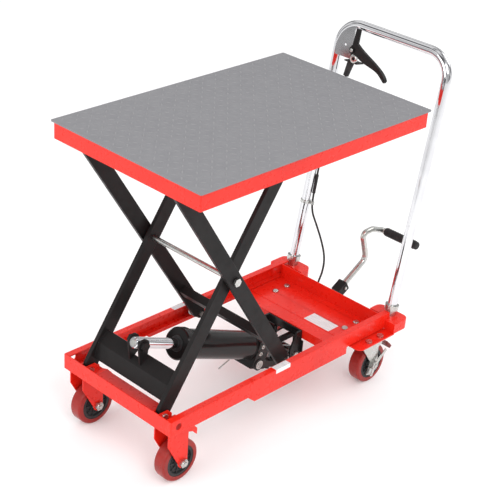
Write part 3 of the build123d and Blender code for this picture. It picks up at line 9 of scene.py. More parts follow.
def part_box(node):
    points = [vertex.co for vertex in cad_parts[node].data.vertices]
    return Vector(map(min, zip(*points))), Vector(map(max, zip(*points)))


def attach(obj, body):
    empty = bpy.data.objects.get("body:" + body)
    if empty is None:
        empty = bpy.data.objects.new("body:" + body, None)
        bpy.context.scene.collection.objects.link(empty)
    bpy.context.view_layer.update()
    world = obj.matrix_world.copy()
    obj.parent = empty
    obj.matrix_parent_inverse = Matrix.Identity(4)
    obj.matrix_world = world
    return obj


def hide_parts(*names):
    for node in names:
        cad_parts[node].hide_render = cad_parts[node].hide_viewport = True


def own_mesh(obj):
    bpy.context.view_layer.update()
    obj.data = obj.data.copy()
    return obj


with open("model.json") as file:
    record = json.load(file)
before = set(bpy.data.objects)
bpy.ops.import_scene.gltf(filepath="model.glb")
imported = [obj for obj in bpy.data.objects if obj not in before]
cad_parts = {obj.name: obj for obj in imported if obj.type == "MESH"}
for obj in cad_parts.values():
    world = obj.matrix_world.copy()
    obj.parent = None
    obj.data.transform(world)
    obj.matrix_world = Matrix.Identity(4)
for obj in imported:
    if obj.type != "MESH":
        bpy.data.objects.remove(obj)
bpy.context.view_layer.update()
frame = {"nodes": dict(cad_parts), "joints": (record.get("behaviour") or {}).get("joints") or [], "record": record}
nodes = frame["nodes"]
joints = {joint["name"]: joint for joint in frame["joints"]}
MM = 0.001


# ------------------------------------------------------------------ material helpers
def new_material(name):
    """A node material with one Principled shader: returns material, tree and shader."""
    material = bpy.data.materials.new(name)
    material.use_nodes = True
    tree = material.node_tree
    return material, tree, tree.nodes["Principled BSDF"]


def coordinates(tree, stretch=(1, 1, 1)):
    """Object coordinates, stretched along the axes."""
    source = tree.nodes.new("ShaderNodeTexCoord")
    mapping = tree.nodes.new("ShaderNodeMapping")
    mapping.inputs["Scale"].default_value = stretch
    tree.links.new(source.outputs["Object"], mapping.inputs["Vector"])
    return mapping.outputs["Vector"]


def noise(tree, scale, detail=3.0, stretch=(1, 1, 1)):
    texture = tree.nodes.new("ShaderNodeTexNoise")
    texture.inputs["Scale"].default_value = scale
    texture.inputs["Detail"].default_value = detail
    tree.links.new(coordinates(tree, stretch), texture.inputs["Vector"])
    return texture.outputs["Fac"]


def cells(tree, scale, feature="F1"):
    texture = tree.nodes.new("ShaderNodeTexVoronoi")
    texture.feature = feature
    texture.inputs["Scale"].default_value = scale
    tree.links.new(coordinates(tree), texture.inputs["Vector"])
    return texture.outputs["Distance"]


def ramp(tree, value, low, high, start=0.3, end=0.7):
    """Map a value's start to end onto low to high."""
    mapped = tree.nodes.new("ShaderNodeMapRange")
    mapped.inputs["From Min"].default_value = start
    mapped.inputs["From Max"].default_value = end
    mapped.inputs["To Min"].default_value = low
    mapped.inputs["To Max"].default_value = high
    tree.links.new(value, mapped.inputs["Value"])
    return mapped.outputs["Result"]


def blend_colours(tree, factor, first, second):
    """Mix two colours (or sockets) by a factor."""
    mix = tree.nodes.new("ShaderNodeMix")
    mix.data_type = "RGBA"
    tree.links.new(factor, mix.inputs["Factor"])
    for socket, colour in ((mix.inputs[6], first), (mix.inputs[7], second)):
        if isinstance(colour, tuple):
            socket.default_value = (*colour, 1.0)
        else:
            tree.links.new(colour, socket)
    return mix.outputs[2]


def add_bump(tree, shader, layers):
    """Chain bump layers of (height socket, strength, distance in metres)."""
    previous = None
    for height, strength, distance in layers:
        bump = tree.nodes.new("ShaderNodeBump")
        bump.inputs["Strength"].default_value = strength
        bump.inputs["Distance"].default_value = distance
        tree.links.new(height, bump.inputs["Height"])
        if previous is not None:
            tree.links.new(previous, bump.inputs["Normal"])
        previous = bump.outputs["Normal"]
    tree.links.new(previous, shader.inputs["Normal"])


# ------------------------------------------------------------------ materials
def enamel(name, colour, shade, rough, coat=0.12, peel=0.07, specular=0.28):
    """Sprayed enamel: slight tone drift, orange peel and fine dust in the gloss."""
    material, tree, shader = new_material(name)
    drift = ramp(tree, noise(tree, 9, 4), 0.0, 1.0)
    toned = blend_colours(tree, drift, colour, shade)
    dust = ramp(tree, noise(tree, 420, 2), 0.0, 0.10)
    worn = blend_colours(tree, dust, toned, tuple(min(1.0, 1.3 * c + 0.008) for c in colour))
    tree.links.new(worn, shader.inputs["Base Color"])
    tree.links.new(ramp(tree, noise(tree, 60, 5), rough * 0.8, rough * 1.35), shader.inputs["Roughness"])
    shader.inputs["Coat Weight"].default_value = coat
    shader.inputs["Coat Roughness"].default_value = 0.12
    shader.inputs["Specular IOR Level"].default_value = specular
    add_bump(tree, shader, [(noise(tree, 260, 2), peel, 0.0004), (noise(tree, 14, 2), 0.05, 0.002)])
    return material


def metal(name, colour, shade, rough_low, rough_high, grain=(1, 1, 1), grain_scale=180, bump=0.06):
    """Bare or plated metal with streaks along the grain and fine scratches."""
    material, tree, shader = new_material(name)
    shader.inputs["Metallic"].default_value = 1.0
    streaks = noise(tree, grain_scale, 4, grain)
    clouds = noise(tree, 24, 3)
    toned = blend_colours(tree, ramp(tree, clouds, 0.0, 1.0), colour, shade)
    tree.links.new(toned, shader.inputs["Base Color"])
    tree.links.new(ramp(tree, streaks, rough_low, rough_high), shader.inputs["Roughness"])
    add_bump(tree, shader, [(streaks, bump, 0.0002)])
    return material


def spangled_zinc(name):
    """Bright zinc plate with a faint crystal pattern."""
    material, tree, shader = new_material(name)
    shader.inputs["Metallic"].default_value = 1.0
    crystals = cells(tree, 130)
    clouds = noise(tree, 35, 4)
    toned = blend_colours(tree, crystals, (0.66, 0.67, 0.66), (0.50, 0.51, 0.50))
    stained = blend_colours(tree, ramp(tree, clouds, 0.0, 0.35), toned, (0.58, 0.55, 0.47))
    tree.links.new(stained, shader.inputs["Base Color"])
    tree.links.new(ramp(tree, clouds, 0.20, 0.36), shader.inputs["Roughness"])
    add_bump(tree, shader, [(crystals, 0.05, 0.0003), (noise(tree, 500, 2), 0.06, 0.0001)])
    return material


def moulded(name, colour, shade, rough, grain_scale=600, grain=0.25, sheen=0.0, coat=0.0, specular=0.25):
    """Moulded rubber or plastic: fine pebble grain, slight tone clouds and scuffs."""
    material, tree, shader = new_material(name)
    clouds = ramp(tree, noise(tree, 30, 4), 0.0, 1.0)
    toned = blend_colours(tree, clouds, colour, shade)
    scuffs = ramp(tree, noise(tree, 110, 6), 0.0, 0.12)
    scuffed = blend_colours(tree, scuffs, toned, tuple(c * 0.7 + 0.12 for c in colour))
    tree.links.new(scuffed, shader.inputs["Base Color"])
    roughness = ramp(tree, noise(tree, 70, 4), rough * 0.85, min(1.0, rough * 1.2))
    tree.links.new(roughness, shader.inputs["Roughness"])
    shader.inputs["Sheen Weight"].default_value = sheen
    shader.inputs["Specular IOR Level"].default_value = specular
    shader.inputs["Coat Weight"].default_value = coat
    shader.inputs["Coat Roughness"].default_value = 0.2
    add_bump(tree, shader, [(cells(tree, grain_scale), grain, 0.00015), (noise(tree, 40, 3), 0.06, 0.001)])
    return material


def printed_label(name, rows):
    """White film with plain grey print bars, which stand for its text."""
    material, tree, shader = new_material(name)
    wave = tree.nodes.new("ShaderNodeTexWave")
    wave.bands_direction = "Y"
    wave.inputs["Scale"].default_value = rows
    wave.inputs["Distortion"].default_value = 0.0
    tree.links.new(coordinates(tree), wave.inputs["Vector"])
    broken = noise(tree, 160, 2, (1, 0.2, 1))
    lines = tree.nodes.new("ShaderNodeMath")
    lines.operation = "MULTIPLY"
    tree.links.new(ramp(tree, wave.outputs["Fac"], 0.0, 1.0), lines.inputs[0])
    tree.links.new(ramp(tree, broken, 0.1, 0.8), lines.inputs[1])
    inked = blend_colours(tree, lines.outputs["Value"], (0.82, 0.83, 0.84), (0.33, 0.35, 0.38))
    tree.links.new(inked, shader.inputs["Base Color"])
    tree.links.new(ramp(tree, noise(tree, 90, 2), 0.3, 0.45), shader.inputs["Roughness"])
    add_bump(tree, shader, [(noise(tree, 300, 2), 0.05, 0.0001)])
    return material


MATERIALS = {
    "red_paint": enamel(
        "red_enamel", (0.82, 0.020, 0.008), (0.70, 0.014, 0.006),
        rough=0.28,
    ),
    "black_paint": enamel(
        "black_enamel", (0.011, 0.010, 0.010), (0.017, 0.015, 0.015),
        rough=0.38, coat=0.04, peel=0.2, specular=0.14,
    ),
    "chrome": metal(
        "bright_chrome", (0.80, 0.80, 0.82), (0.72, 0.72, 0.74),
        rough_low=0.05, rough_high=0.12, grain=(1, 1, 0.05), grain_scale=220, bump=0.02,
    ),
    "zinc": spangled_zinc("zinc_plate"),
    "grey_mat": moulded(
        "grey_mat", (0.208, 0.206, 0.219), (0.222, 0.220, 0.232),
        rough=0.5, grain_scale=900, grain=0.25, sheen=0.05,
    ),
    "red_wheel": moulded(
        "red_polyurethane", (0.33, 0.014, 0.009), (0.26, 0.011, 0.008),
        rough=0.32, grain_scale=500, grain=0.08, sheen=0.0, coat=0.05, specular=0.3,
    ),
    "black_hub": moulded(
        "black_hub", (0.016, 0.017, 0.018), (0.028, 0.029, 0.031),
        rough=0.42, grain_scale=700, grain=0.15,
    ),
    "black_rubber": moulded(
        "black_rubber", (0.014, 0.014, 0.015), (0.022, 0.022, 0.023),
        rough=0.55, grain_scale=800, grain=0.35, sheen=0.03,
    ),
    "cable_black": moulded(
        "cable_jacket", (0.012, 0.012, 0.013), (0.020, 0.020, 0.021),
        rough=0.34, grain_scale=900, grain=0.1,
    ),
    "spring_steel": metal(
        "spring_steel", (0.60, 0.60, 0.60), (0.48, 0.48, 0.49),
        rough_low=0.22, rough_high=0.36, grain=(1, 1, 1), grain_scale=300, bump=0.1,
    ),
    "red_pedal": moulded(
        "dark_red_cover", (0.17, 0.018, 0.014), (0.12, 0.014, 0.012),
        rough=0.45, grain_scale=700, grain=0.2,
    ),
    "grey_plate": metal(
        "brushed_plate", (0.42, 0.42, 0.43), (0.34, 0.34, 0.35),
        rough_low=0.16, rough_high=0.30, grain=(0.1, 1, 1), grain_scale=260, bump=0.08,
    ),
}
LABEL = printed_label("printed_label", 190)
GLOSS_BLACK = enamel(
    "gloss_black_enamel", (0.010, 0.009, 0.009), (0.015, 0.014, 0.014),
    rough=0.2, coat=0.15, peel=0.1, specular=0.2,
)
TREAD = moulded(
    "raised_tread", (0.262, 0.260, 0.272), (0.240, 0.238, 0.250),
    rough=0.38, grain_scale=900, grain=0.15, sheen=0.0, coat=0.1, specular=0.4,
)
GLOSSY_NODES = ("cylinder_tube", "pump_block", "pump_hanger")

slot_of = {part["node"]: part["material_slot"] for part in frame["record"]["subparts"]}
for node_name, node in nodes.items():
    for index in range(len(node.material_slots)):
        finish = GLOSS_BLACK if node_name in GLOSSY_NODES else MATERIALS[slot_of[node_name]]
        node.material_slots[index].material = finish

# Small rounded edges on the folded and cut metal parts.
BEVELS = {
    "side_rails": 0.3, "rail_flanges": 0.4, "front_rail": 0.8,
    "tray_pan": 0.6, "corner_brackets": 0.8, "platform_pan": 0.6,
    "inner_arms": 0.9, "outer_arms": 0.9, "inner_cross_members": 0.5, "outer_cross_tube": 0.8,
    "front_forks": 0.5, "rear_fork_left": 0.5, "rear_fork_right": 0.5,
    "hand_lever": 2.2, "lever_mount": 0.7, "handle_gusset": 0.4, "pedal_lever": 0.9,
    "pump_block": 2.0, "pump_hanger": 0.6, "rod_lugs": 0.7, "roller_guides": 0.4, "platform_brackets": 0.5,
}
for node_name, width in BEVELS.items():
    weld = nodes[node_name].modifiers.new("weld", "WELD")
    weld.merge_threshold = 0.00001
    bevel = nodes[node_name].modifiers.new("bevel", "BEVEL")
    bevel.width = width * MM
    bevel.segments = 2
    bevel.limit_method = "ANGLE"
    bevel.angle_limit = math.radians(40)
    bevel.harden_normals = False


# ------------------------------------------------------------------ mesh helpers
def finish_piece(mesh_builder, name, body, slot, smooth=True, material=None):
    """Turn a bmesh into a piece that rides on a body."""
    mesh = bpy.data.meshes.new(name)
    bmesh.ops.recalc_face_normals(mesh_builder, faces=mesh_builder.faces)
    mesh_builder.to_mesh(mesh)
    mesh_builder.free()
    mesh.materials.append(material or MATERIALS[slot])
    for polygon in mesh.polygons:
        polygon.use_smooth = smooth
    piece = bpy.data.objects.new(name, mesh)
    bpy.context.scene.collection.objects.link(piece)
    if smooth:
        mesh.set_sharp_from_angle(angle=math.radians(35))
    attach(piece, body)
    return piece


def basis(direction):
    """A rotation that takes +Z to direction."""
    return Vector(direction).to_track_quat("Z", "Y").to_matrix().to_4x4()


def profile(*points):
    """Outline of a turned shape from (radius, height) points in millimetres."""
    return tuple((radius * MM, height * MM) for radius, height in points)


def add_lathe(builder, outline, centre, direction, segments=40):
    """Revolve (radius, height) points about an axis through centre. The outline is closed."""
    place = Matrix.Translation(centre) @ basis(direction)
    rings = []
    for step in range(segments):
        angle = 2 * math.pi * step / segments
        rings.append([
            builder.verts.new(place @ Vector((r * math.cos(angle), r * math.sin(angle), h)))
            for r, h in outline
        ])
    for step in range(segments):
        here, there = rings[step], rings[(step + 1) % segments]
        for index in range(len(outline)):
            after = (index + 1) % len(outline)
            builder.faces.new((here[index], there[index], there[after], here[after]))


def lathe(name, body, slot, outline, places, segments=40):
    """One piece made of the same turned profile at several (centre, direction) places."""
    builder = bmesh.new()
    for centre, direction in places:
        add_lathe(builder, outline, centre, direction, segments)
    return finish_piece(builder, name, body, slot)


def add_tube(builder, points, radius, segments=10, ripple=0.0):
    """A closed round tube along points, with an optional rippled radius for weld beads."""
    rings = []
    for index, point in enumerate(points):
        before = points[max(index - 1, 0)]
        after = points[min(index + 1, len(points) - 1)]
        place = Matrix.Translation(point) @ basis(after - before)
        size = radius * (1 + ripple * math.sin(index * 2.1))
        rings.append([
            builder.verts.new(place @ Vector((
                size * math.cos(2 * math.pi * k / segments), size * math.sin(2 * math.pi * k / segments), 0
            )))
            for k in range(segments)
        ])
    for here, there in zip(rings, rings[1:]):
        for k in range(segments):
            builder.faces.new((here[k], here[(k + 1) % segments], there[(k + 1) % segments], there[k]))
    builder.faces.new(rings[0][::-1])
    builder.faces.new(rings[-1])


def add_block(builder, centre, size, turn=None, edge=0.0):
    """A box with chamfered edges, centred at a point and turned by a matrix."""
    made = bmesh.ops.create_cube(builder, size=1.0)["verts"]
    bmesh.ops.scale(builder, vec=size, verts=made)
    if edge:
        edges = list({e for v in made for e in v.link_edges})
        result = bmesh.ops.bevel(builder, geom=edges, offset=edge, segments=2, affect="EDGES", profile=0.5)
        made = list(set(result["verts"]) | {v for v in made if v.is_valid})
    place = Matrix.Translation(centre) @ (turn or Matrix.Identity(4))
    bmesh.ops.transform(builder, matrix=place, verts=made)


def line_points(start, end, count):
    return [Vector(start).lerp(Vector(end), index / (count - 1)) for index in range(count)]


def centre_of(node):
    low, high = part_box(node)
    return (low + high) / 2


# ------------------------------------------------------------------ camera
def make_camera():
    """Long lens, well above and in front of the cart's left side."""
    data = bpy.data.cameras.new("camera")
    data.sensor_width = 36
    data.lens = 98.3
    camera = bpy.data.objects.new("camera", data)
    bpy.context.scene.collection.objects.link(camera)
    camera.location = (2.0547, 1.8466, 1.8170)
    direction = Vector((-0.65191, -0.59913, -0.46481))
    roll = Quaternion((0, 0, 1), math.radians(4.22))
    camera.rotation_mode = "QUATERNION"
    camera.rotation_quaternion = direction.to_track_quat("-Z", "Y") @ roll
    bpy.context.scene.camera = camera


make_camera()

# ------------------------------------------------------------------ release cable
CABLE_ROUTE = (
    (-0.3822, -0.1216, 0.6698),
    (-0.373, -0.134, 0.608),
    (-0.3625, -0.145, 0.545),
    (-0.3525, -0.1474, 0.480),
    (-0.342, -0.1462, 0.415),
    (-0.3315, -0.145, 0.355),
    (-0.322, -0.138, 0.318),
    (-0.312, -0.108, 0.291),
    (-0.301, -0.078, 0.262),
    (-0.292, -0.056, 0.230),
    (-0.283, -0.050, 0.196),
    (-0.275, -0.056, 0.162),
    (-0.266, -0.054, 0.127),
    (-0.228, -0.043, 0.106),
    (-0.170, -0.036, 0.098),
    (-0.100, -0.033, 0.095),
)
CABLE_DIAMETER = 0.005


def make_cable():
    """Outer jacket of the release cable, from the boot on the handle to the stop under the tray."""
    curve = bpy.data.curves.new("release_cable_jacket", "CURVE")
    curve.dimensions = "3D"
    spline = curve.splines.new("NURBS")
    spline.points.add(len(CABLE_ROUTE) - 1)
    for point, place in zip(spline.points, CABLE_ROUTE):
        point.co = (*place, 1.0)
    spline.order_u = 3
    spline.use_endpoint_u = True
    spline.resolution_u = 12
    curve.bevel_depth = CABLE_DIAMETER / 2
    curve.bevel_resolution = 4
    curve.use_fill_caps = True
    curve.materials.append(MATERIALS["cable_black"])
    cable = bpy.data.objects.new("release_cable_jacket", curve)
    bpy.context.scene.collection.objects.link(cable)
    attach(cable, "base")
    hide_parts("release_cable")


make_cable()


# ------------------------------------------------------------------ platform mat
def make_mat_tread():
    """Raised tread bars in alternating directions over the mat."""
    low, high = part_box("platform_mat")
    pitch = 20 * MM
    half_length, half_width, height = 7.0 * MM, 2.1 * MM, 0.8 * MM
    margin = 12 * MM
    columns = int((high.x - low.x - 2 * margin) / pitch)
    rows = int((high.y - low.y - 2 * margin) / pitch)
    start_x = (low.x + high.x - columns * pitch) / 2
    start_y = (low.y + high.y - rows * pitch) / 2
    builder = bmesh.new()
    for column in range(columns + 1):
        for row in range(rows + 1):
            angle = math.radians(45 if (column + row) % 2 else -45)
            place = Matrix.Translation((start_x + column * pitch, start_y + row * pitch, high.z))
            place = place @ Matrix.Rotation(angle, 4, "Z")
            outline = []
            crest = []
            for step in range(12):
                turn = 2 * math.pi * step / 12
                x, y = math.cos(turn), math.sin(turn)
                foot = Vector((half_length * x, half_width * y, -0.1 * MM))
                top = Vector((0.7 * half_length * x, 0.5 * half_width * y, height))
                outline.append(builder.verts.new(place @ foot))
                crest.append(builder.verts.new(place @ top))
            for step in range(12):
                after = (step + 1) % 12
                builder.faces.new((outline[step], outline[after], crest[after], crest[step]))
            builder.faces.new(crest)
            builder.faces.new(outline[::-1])
    finish_piece(builder, "mat_tread", "platform", "grey_mat", material=TREAD)


make_mat_tread()


# ------------------------------------------------------------------ labels
def make_label(name, body, centre, size, turn=None):
    builder = bmesh.new()
    add_block(builder, centre, size, turn, 0.1 * MM)
    finish_piece(builder, name, body, "grey_plate", smooth=False, material=LABEL)


def make_labels():
    """A label over the top edge of each rail, and one on the tray."""
    film = 0.3 * MM
    rail_low, rail_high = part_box("rail_flanges")
    builder = bmesh.new()
    for edge, sign, start, end in ((rail_high.y, 1, 75, 121), (rail_low.y, -1, 80, 118)):
        middle, length = (start + end) / 2 * MM, (end - start) * MM
        lie = Vector((middle, edge - sign * 7.5 * MM, rail_high.z + film / 2))
        add_block(builder, lie, (length, 15 * MM, film), None, 0.1 * MM)
        wrap = Vector((middle, edge + sign * film / 2, rail_high.z - 5 * MM))
        add_block(builder, wrap, (length, film, 10 * MM + 2 * film), None, 0.1 * MM)
    finish_piece(builder, "rail_labels", "base", "grey_plate", smooth=False, material=LABEL)
    floor_z = 144 * MM
    make_label("tray_label", "base", (-161 * MM, 60 * MM, floor_z + film / 2), (38 * MM, 79 * MM, film))


make_labels()


# ------------------------------------------------------------------ wheels
def make_wheel_details():
    """Bearing seals and a moulded rib ring on both faces of each hub."""
    for place in ("front", "rear"):
        for side in ("left", "right"):
            hub = f"{place}_hub_{side}"
            body = f"{place}_wheel_{side}"
            middle = centre_of(hub)
            low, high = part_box(hub)
            half = (high.y - low.y) / 2
            faces = [
                (middle + Vector((0, sign * half, 0)), (0, sign, 0)) for sign in (-1, 1)
            ]
            seal = profile((6.2, -2), (11.5, -2), (11.5, 0.4), (10, 0.9), (6.2, 0.9))
            lathe(f"{place}_seal_{side}", body, "spring_steel", seal, faces)
            rib = profile((22, -5.5), (25, -5.5), (24.4, -3.6), (22.6, -3.6))
            lathe(f"{place}_hub_ring_{side}", body, "black_hub", rib, faces, 56)
            builder = bmesh.new()
            for centre, direction in faces:
                for spoke in range(10):
                    turn = Matrix.Rotation(2 * math.pi * spoke / 10, 4, "Y")
                    offset = turn @ Vector((22.5 * MM, 0, 0))
                    inward = -3.9 * MM * direction[1]
                    add_block(
                        builder, centre + offset + Vector((0, inward, 0)),
                        (14 * MM, 2.4 * MM, 2.2 * MM), turn, 0.4 * MM,
                    )
            finish_piece(builder, f"{place}_hub_spokes_{side}", body, "black_hub")


make_wheel_details()


def make_nut_ends():
    """Domed bolt ends and nylon-ring collars on the wheel nuts."""
    collar = profile((0.01, 0), (8.2, 0), (7.6, 2), (5.4, 2.3), (5.2, 1.2), (0.01, 1.2))
    stub = profile((0.01, 0), (5, 0), (5, 3), (4, 3.8), (0.01, 3.8))
    low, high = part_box("front_axles")
    for side, sign, outer in (("left", 1, high.y), ("right", -1, -low.y)):
        wheel = centre_of(f"front_hub_{side}")
        inner = 2 * abs(wheel.y) - outer
        ends = [
            (Vector((wheel.x, sign * outer, wheel.z)), (0, sign, 0)),
            (Vector((wheel.x, sign * inner, wheel.z)), (0, -sign, 0)),
        ]
        lathe(f"front_nut_collar_{side}", "base", "zinc", collar, ends)
        lathe(f"front_bolt_end_{side}", "base", "zinc", stub, ends)
        axle_low, axle_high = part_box(f"rear_axle_{side}")
        middle = centre_of(f"rear_axle_{side}")
        ends = [
            (Vector((middle.x, axle_high.y, middle.z)), (0, 1, 0)),
            (Vector((middle.x, axle_low.y, middle.z)), (0, -1, 0)),
        ]
        lathe(f"rear_nut_collar_{side}", f"swivel_{side}", "zinc", collar, ends)
        lathe(f"rear_bolt_end_{side}", f"swivel_{side}", "zinc", stub, ends)


make_nut_ends()


def make_brake_strip(side, sign):
    """Pressed strip on the outer face of a swivel fork, from below the axle up to the brake."""
    axle = centre_of(f"rear_axle_{side}")
    plane_y = sign * 181.5 * MM
    builder = bmesh.new()
    for start, end in (((13, -25), (4, -6)), ((-4, 6), (-36, 33))):
        run = Vector(((end[0] - start[0]) * MM, 0, (end[1] - start[1]) * MM))
        middle = Vector((
            axle.x + (start[0] + end[0]) / 2 * MM, plane_y, axle.z + (start[1] + end[1]) / 2 * MM
        ))
        turn = Matrix.Rotation(-math.atan2(run.z, run.x), 4, "Y")
        add_block(builder, middle, (run.length, 2.2 * MM, 9 * MM), turn, 0.4 * MM)
    finish_piece(builder, f"brake_strip_{side}", f"swivel_{side}", "zinc")
    disc = profile((8.4, -1), (10.5, -1), (10.5, 1.2), (9.6, 1.8), (8.4, 1.8))
    lathe(f"axle_washer_{side}", f"swivel_{side}", "zinc", disc, [
        (Vector((axle.x, plane_y, axle.z)), (0, sign, 0)),
    ])


def make_caster_details():
    """Pressed bearing cups of the swivels and the moulded covers on the brake pedals."""
    for side, sign in (("left", 1), ("right", -1)):
        king = Vector(joints[f"swivel_{side}_turn"]["pos_m"])
        cup = profile((25.2, 4.6), (27.5, 4.4), (28.6, 5.6), (28.4, 7.6), (26.5, 8.6), (25.2, 8.6))
        lathe(f"swivel_cup_{side}", "base", "zinc", cup, [(king, (0, 0, 1))], 56)
        low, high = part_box(f"brake_pedal_{side}")
        builder = bmesh.new()
        slope = Matrix.Rotation(math.radians(-44), 4, "Y")
        tip = Vector((low.x + 9 * MM, (low.y + high.y) / 2, low.z + 9.5 * MM))
        add_block(builder, tip, (24 * MM, 37 * MM, 9 * MM), slope, 1.6 * MM)
        for rib in range(4):
            lift = slope @ Vector(((rib - 1.5) * 5.2 * MM, 0, 4.7 * MM))
            add_block(builder, tip + lift, (2.2 * MM, 31 * MM, 1.6 * MM), slope, 0.5 * MM)
        finish_piece(builder, f"brake_cover_{side}", f"brake_{side}", "red_pedal")
        make_brake_strip(side, sign)


make_caster_details()


# ------------------------------------------------------------------ pump details
def ram_axes():
    """Origin at the pump's pin, unit vector along the ram, and the one square above it."""
    along = Vector(joints["ram_stroke"]["axis"]).normalized()
    return Vector(joints["pump_tilt"]["pos_m"]), along, Vector((-along.z, 0, along.x))


def make_pump_spring():
    """Coil spring between the plunger's head and its barrel."""
    origin, along, above = ram_axes()
    top = origin + along * 50 * MM + Vector((0, 14 * MM, 0)) - above * 4.6 * MM
    bottom = origin + along * 50 * MM + Vector((0, 14 * MM, 0)) - above * 21.4 * MM
    turns, steps = 5, 120
    side = Vector((0, 1, 0))
    points = []
    for step in range(steps + 1):
        angle = 2 * math.pi * turns * step / steps
        middle = bottom.lerp(top, step / steps)
        points.append(middle + (along * math.cos(angle) + side * math.sin(angle)) * 7.2 * MM)
    builder = bmesh.new()
    add_tube(builder, points, 0.9 * MM, 8)
    spring = finish_piece(builder, "plunger_spring", "pump", "spring_steel")
    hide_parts("pump_spring")
    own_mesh(spring)


make_pump_spring()


def make_pump_details():
    """Cap screws, filler plug and pipe of the pump, the ram's wiper and end, and the release wire."""
    origin, along, above = ram_axes()
    side = Vector((0, 1, 0))
    screw = profile(
        (0.01, -1), (5.2, -1), (5.2, 3.6), (4.6, 4.2), (2.6, 4.2), (2.4, 1.6), (0.01, 1.6),
    )
    places = []
    for u in (34, 108):
        for v in (-30, 20):
            places.append((origin + along * u * MM + above * v * MM + side * -31 * MM, (0, -1, 0)))
    for v in (-6, 12):
        places.append((origin + along * 110 * MM + above * v * MM + side * 36 * MM, (0, 1, 0)))
    lathe("pump_cap_screws", "pump", "zinc", screw, places, 20)
    plug = profile((0.01, -1), (9, -1), (9, 2), (7, 2.6), (7, 7), (6.2, 7.8), (0.01, 7.8))
    lathe("pump_filler_plug", "pump", "black_paint", plug,
          [(origin + along * 96 * MM + above * 30 * MM + side * -16 * MM, tuple(above))], 6)
    gland = profile((12.7, -1), (19, -1), (18.4, 1.6), (14.2, 2.6), (12.7, 2.2))
    lathe("ram_wiper", "pump", "black_rubber", gland, [(origin + along * 370 * MM, tuple(along))], 48)
    band = profile((34, -2.2), (35.3, -1.2), (35.3, 1.2), (34, 2.2))
    lathe("cylinder_weld", "pump", "black_paint", band,
          [(origin + along * u * MM, tuple(along)) for u in (123, 343)], 64)
    rod_end = profile((0.01, -1), (8.5, -1), (7.6, 1.1), (0.01, 1.1))
    lathe("ram_end_face", "ram_rod", "zinc", rod_end, [(origin + along * 508.9 * MM, tuple(along))], 36)
    builder = bmesh.new()
    cable_end = Vector(CABLE_ROUTE[-1])
    hook = origin + along * 33 * MM + above * 24 * MM + side * -33 * MM
    add_tube(builder, line_points(cable_end - Vector((6 * MM, 0, 0)), hook, 8), 0.8 * MM, 8)
    finish_piece(builder, "release_wire", "base", "spring_steel")
    builder = bmesh.new()
    add_tube(builder, line_points(Vector((89, 0, 109)) * MM, Vector((123, 0, 98)) * MM, 6), 1.5 * MM, 10)
    finish_piece(builder, "breather_pipe", "pump", "zinc")


make_pump_details()


# ------------------------------------------------------------------ handle and pedal details
def make_pedal_details():
    """Locking pin of the pedal's socket and the end dome of its grip."""
    low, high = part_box("pedal_lever")
    slope = Vector((-math.cos(math.radians(31)), 0, math.sin(math.radians(31))))
    socket = Vector((-278.9 * MM, 14 * MM, 176.7 * MM)) + slope * 6 * MM
    half = (high.y - low.y) / 2
    pin = profile((0.01, -1), (4, -1), (4, 2), (3.2, 2.8), (0.01, 2.8))
    lathe("socket_pin", "pedal", "zinc", pin, [
        (socket + Vector((0, half, 0)), (0, 1, 0)),
        (socket - Vector((0, half, 0)), (0, -1, 0)),
    ], 24)
    grip_low, grip_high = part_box("pedal_grip")
    axis_point = Vector(((grip_low.x + grip_high.x) / 2, grip_high.y, (grip_low.z + grip_high.z) / 2))
    dome = profile((0.01, -2), (9.9, -2), (9.9, 0.2), (8.6, 2), (5, 3.2), (0.01, 3.6))
    lathe("grip_end", "pedal", "black_rubber", dome, [(axis_point, (0, 1, 0))], 40)


make_pedal_details()


def make_lever_details():
    """Pivot rivet of the hand lever, the nut by the cable, and the finger ridges."""
    lean = Vector(joints["hand_lever_squeeze"]["axis"]).normalized()
    up = Vector((-lean.z, 0, lean.x))
    pivot = Vector(joints["hand_lever_squeeze"]["pos_m"])
    rivet = profile((0.01, -1), (4.6, -1), (4.6, 0.8), (3.4, 1.9), (0.01, 2.2))
    head = pivot + lean * 13.4 * MM
    lathe("lever_rivet", "base", "zinc", rivet, [(head, tuple(lean))], 28)
    nut = profile((4.4, -1), (10.6, -1), (10.6, 2.2), (9.4, 3.2), (7, 3.6), (4.4, 3.6))
    below = pivot + Vector((0, 2 * MM, 0)) - up * 21 * MM - lean * 1.5 * MM
    lathe("cable_nut", "base", "zinc", nut, [(below, tuple(lean))], 28)
    ridges = (
        (27.5, -13.4), (39, -18.6), (50.9, -22.8), (62, -26.6),
        (73.6, -30.0), (83, -33.2), (92, -35.2), (98, -39.6),
    )
    builder = bmesh.new()
    place = Matrix((
        (lean.x, 0, up.x, 0), (0, 1, 0, 0), (lean.z, 0, up.z, 0), (0, 0, 0, 1),
    ))
    for across, rise in ridges:
        centre = pivot + Vector((0, across * MM, 0)) + up * rise * MM
        tilt = place @ Matrix.Rotation(math.radians(-24), 4, "X")
        add_block(builder, centre, (9.5 * MM, 4.5 * MM, 2.4 * MM), tilt, 0.7 * MM)
    finish_piece(builder, "lever_ridges", "hand_lever", "black_paint")


make_lever_details()


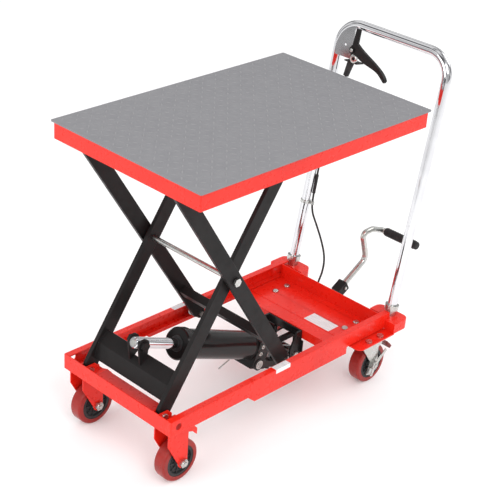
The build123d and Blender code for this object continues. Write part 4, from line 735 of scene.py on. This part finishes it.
# ------------------------------------------------------------------ weld beads
def make_welds():
    """Beads where the cross members meet the arms and the brackets meet the frames."""
    low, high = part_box("inner_cross_members")
    pivot = Vector(joints["lift"]["pos_m"])
    roller = Vector(joints["upper_roller_left_roll"]["pos_m"])
    direction = (Vector((roller.x, 0, roller.z)) - Vector((pivot.x, 0, pivot.z))).normalized()
    above = Vector((direction.z, 0, -direction.x))
    builder = bmesh.new()
    for edge in (low.y + 0.5 * MM, high.y - 0.5 * MM):
        start = pivot + direction * 28 * MM + above * 3 * MM
        ridge = pivot + direction * 62 * MM + above * 11.6 * MM
        end = pivot + direction * 93 * MM + above * 3 * MM
        for first, last in ((start, ridge), (ridge, end)):
            points = line_points((first.x, edge, first.z), (last.x, edge, last.z), 24)
            add_tube(builder, points, 1.7 * MM, 8, 0.16)
    finish_piece(builder, "cross_plate_welds", "inner_frame", "black_paint")
    ring = profile((12.4, -1.6), (14.6, -1.6), (14.0, 0.6), (12.4, 1.6))
    lathe("tie_tube_welds", "inner_frame", "black_paint", ring, [
        (Vector((roller.x, high.y - 1.6 * MM, roller.z)), (0, -1, 0)),
        (Vector((roller.x, low.y + 1.6 * MM, roller.z)), (0, 1, 0)),
    ], 40)


make_welds()


# ------------------------------------------------------------------ studio
def make_studio():
    """Pale floor, bright even surroundings and three soft lamps."""
    floor_material, tree, shader = new_material("studio_floor")
    tree.links.new(
        blend_colours(tree, ramp(tree, noise(tree, 3, 2), 0, 1), (0.90, 0.90, 0.90), (0.88, 0.88, 0.885)),
        shader.inputs["Base Color"],
    )
    shader.inputs["Roughness"].default_value = 0.9
    shader.inputs["Emission Color"].default_value = (1, 1, 1, 1)
    shader.inputs["Emission Strength"].default_value = 0.12
    builder = bmesh.new()
    bmesh.ops.create_grid(builder, x_segments=1, y_segments=1, size=12)
    mesh = bpy.data.meshes.new("studio_floor")
    builder.to_mesh(mesh)
    builder.free()
    mesh.materials.append(floor_material)
    floor = bpy.data.objects.new("studio_floor", mesh)
    bpy.context.scene.collection.objects.link(floor)

    world = bpy.data.worlds.new("studio")
    world.use_nodes = True
    tree = world.node_tree
    background = tree.nodes["Background"]
    source = tree.nodes.new("ShaderNodeTexCoord")
    patches = tree.nodes.new("ShaderNodeTexNoise")
    patches.inputs["Scale"].default_value = 2.4
    patches.inputs["Detail"].default_value = 1.0
    tree.links.new(source.outputs["Generated"], patches.inputs["Vector"])
    rays = tree.nodes.new("ShaderNodeLightPath")
    contrast = ramp(tree, patches.outputs["Fac"], 0, 1, 0.42, 0.6)
    reflected = blend_colours(tree, contrast, (0.13, 0.13, 0.135), (0.92, 0.92, 0.92))
    lit = blend_colours(tree, rays.outputs["Is Glossy Ray"], (0.97, 0.97, 0.97), reflected)
    seen = blend_colours(tree, rays.outputs["Is Camera Ray"], lit, (1.04, 1.04, 1.04))
    tree.links.new(seen, background.inputs["Color"])
    background.inputs["Strength"].default_value = 1.0
    bpy.context.scene.world = world

    for name, place, size, power in (
        ("key_lamp", (1.2, 2.4, 2.6), 1.6, 34),
        ("front_lamp", (2.8, -0.4, 1.6), 1.4, 22),
        ("rear_lamp", (-2.2, 0.8, 2.2), 1.4, 14),
    ):
        data = bpy.data.lights.new(name, "AREA")
        data.size = size
        data.energy = power
        lamp = bpy.data.objects.new(name, data)
        bpy.context.scene.collection.objects.link(lamp)
        lamp.location = place
        aim = Vector((0, 0, 0.35)) - Vector(place)
        lamp.rotation_mode = "QUATERNION"
        lamp.rotation_quaternion = aim.to_track_quat("-Z", "Y")
    bpy.context.scene.view_settings.view_transform = "Standard"


make_studio()
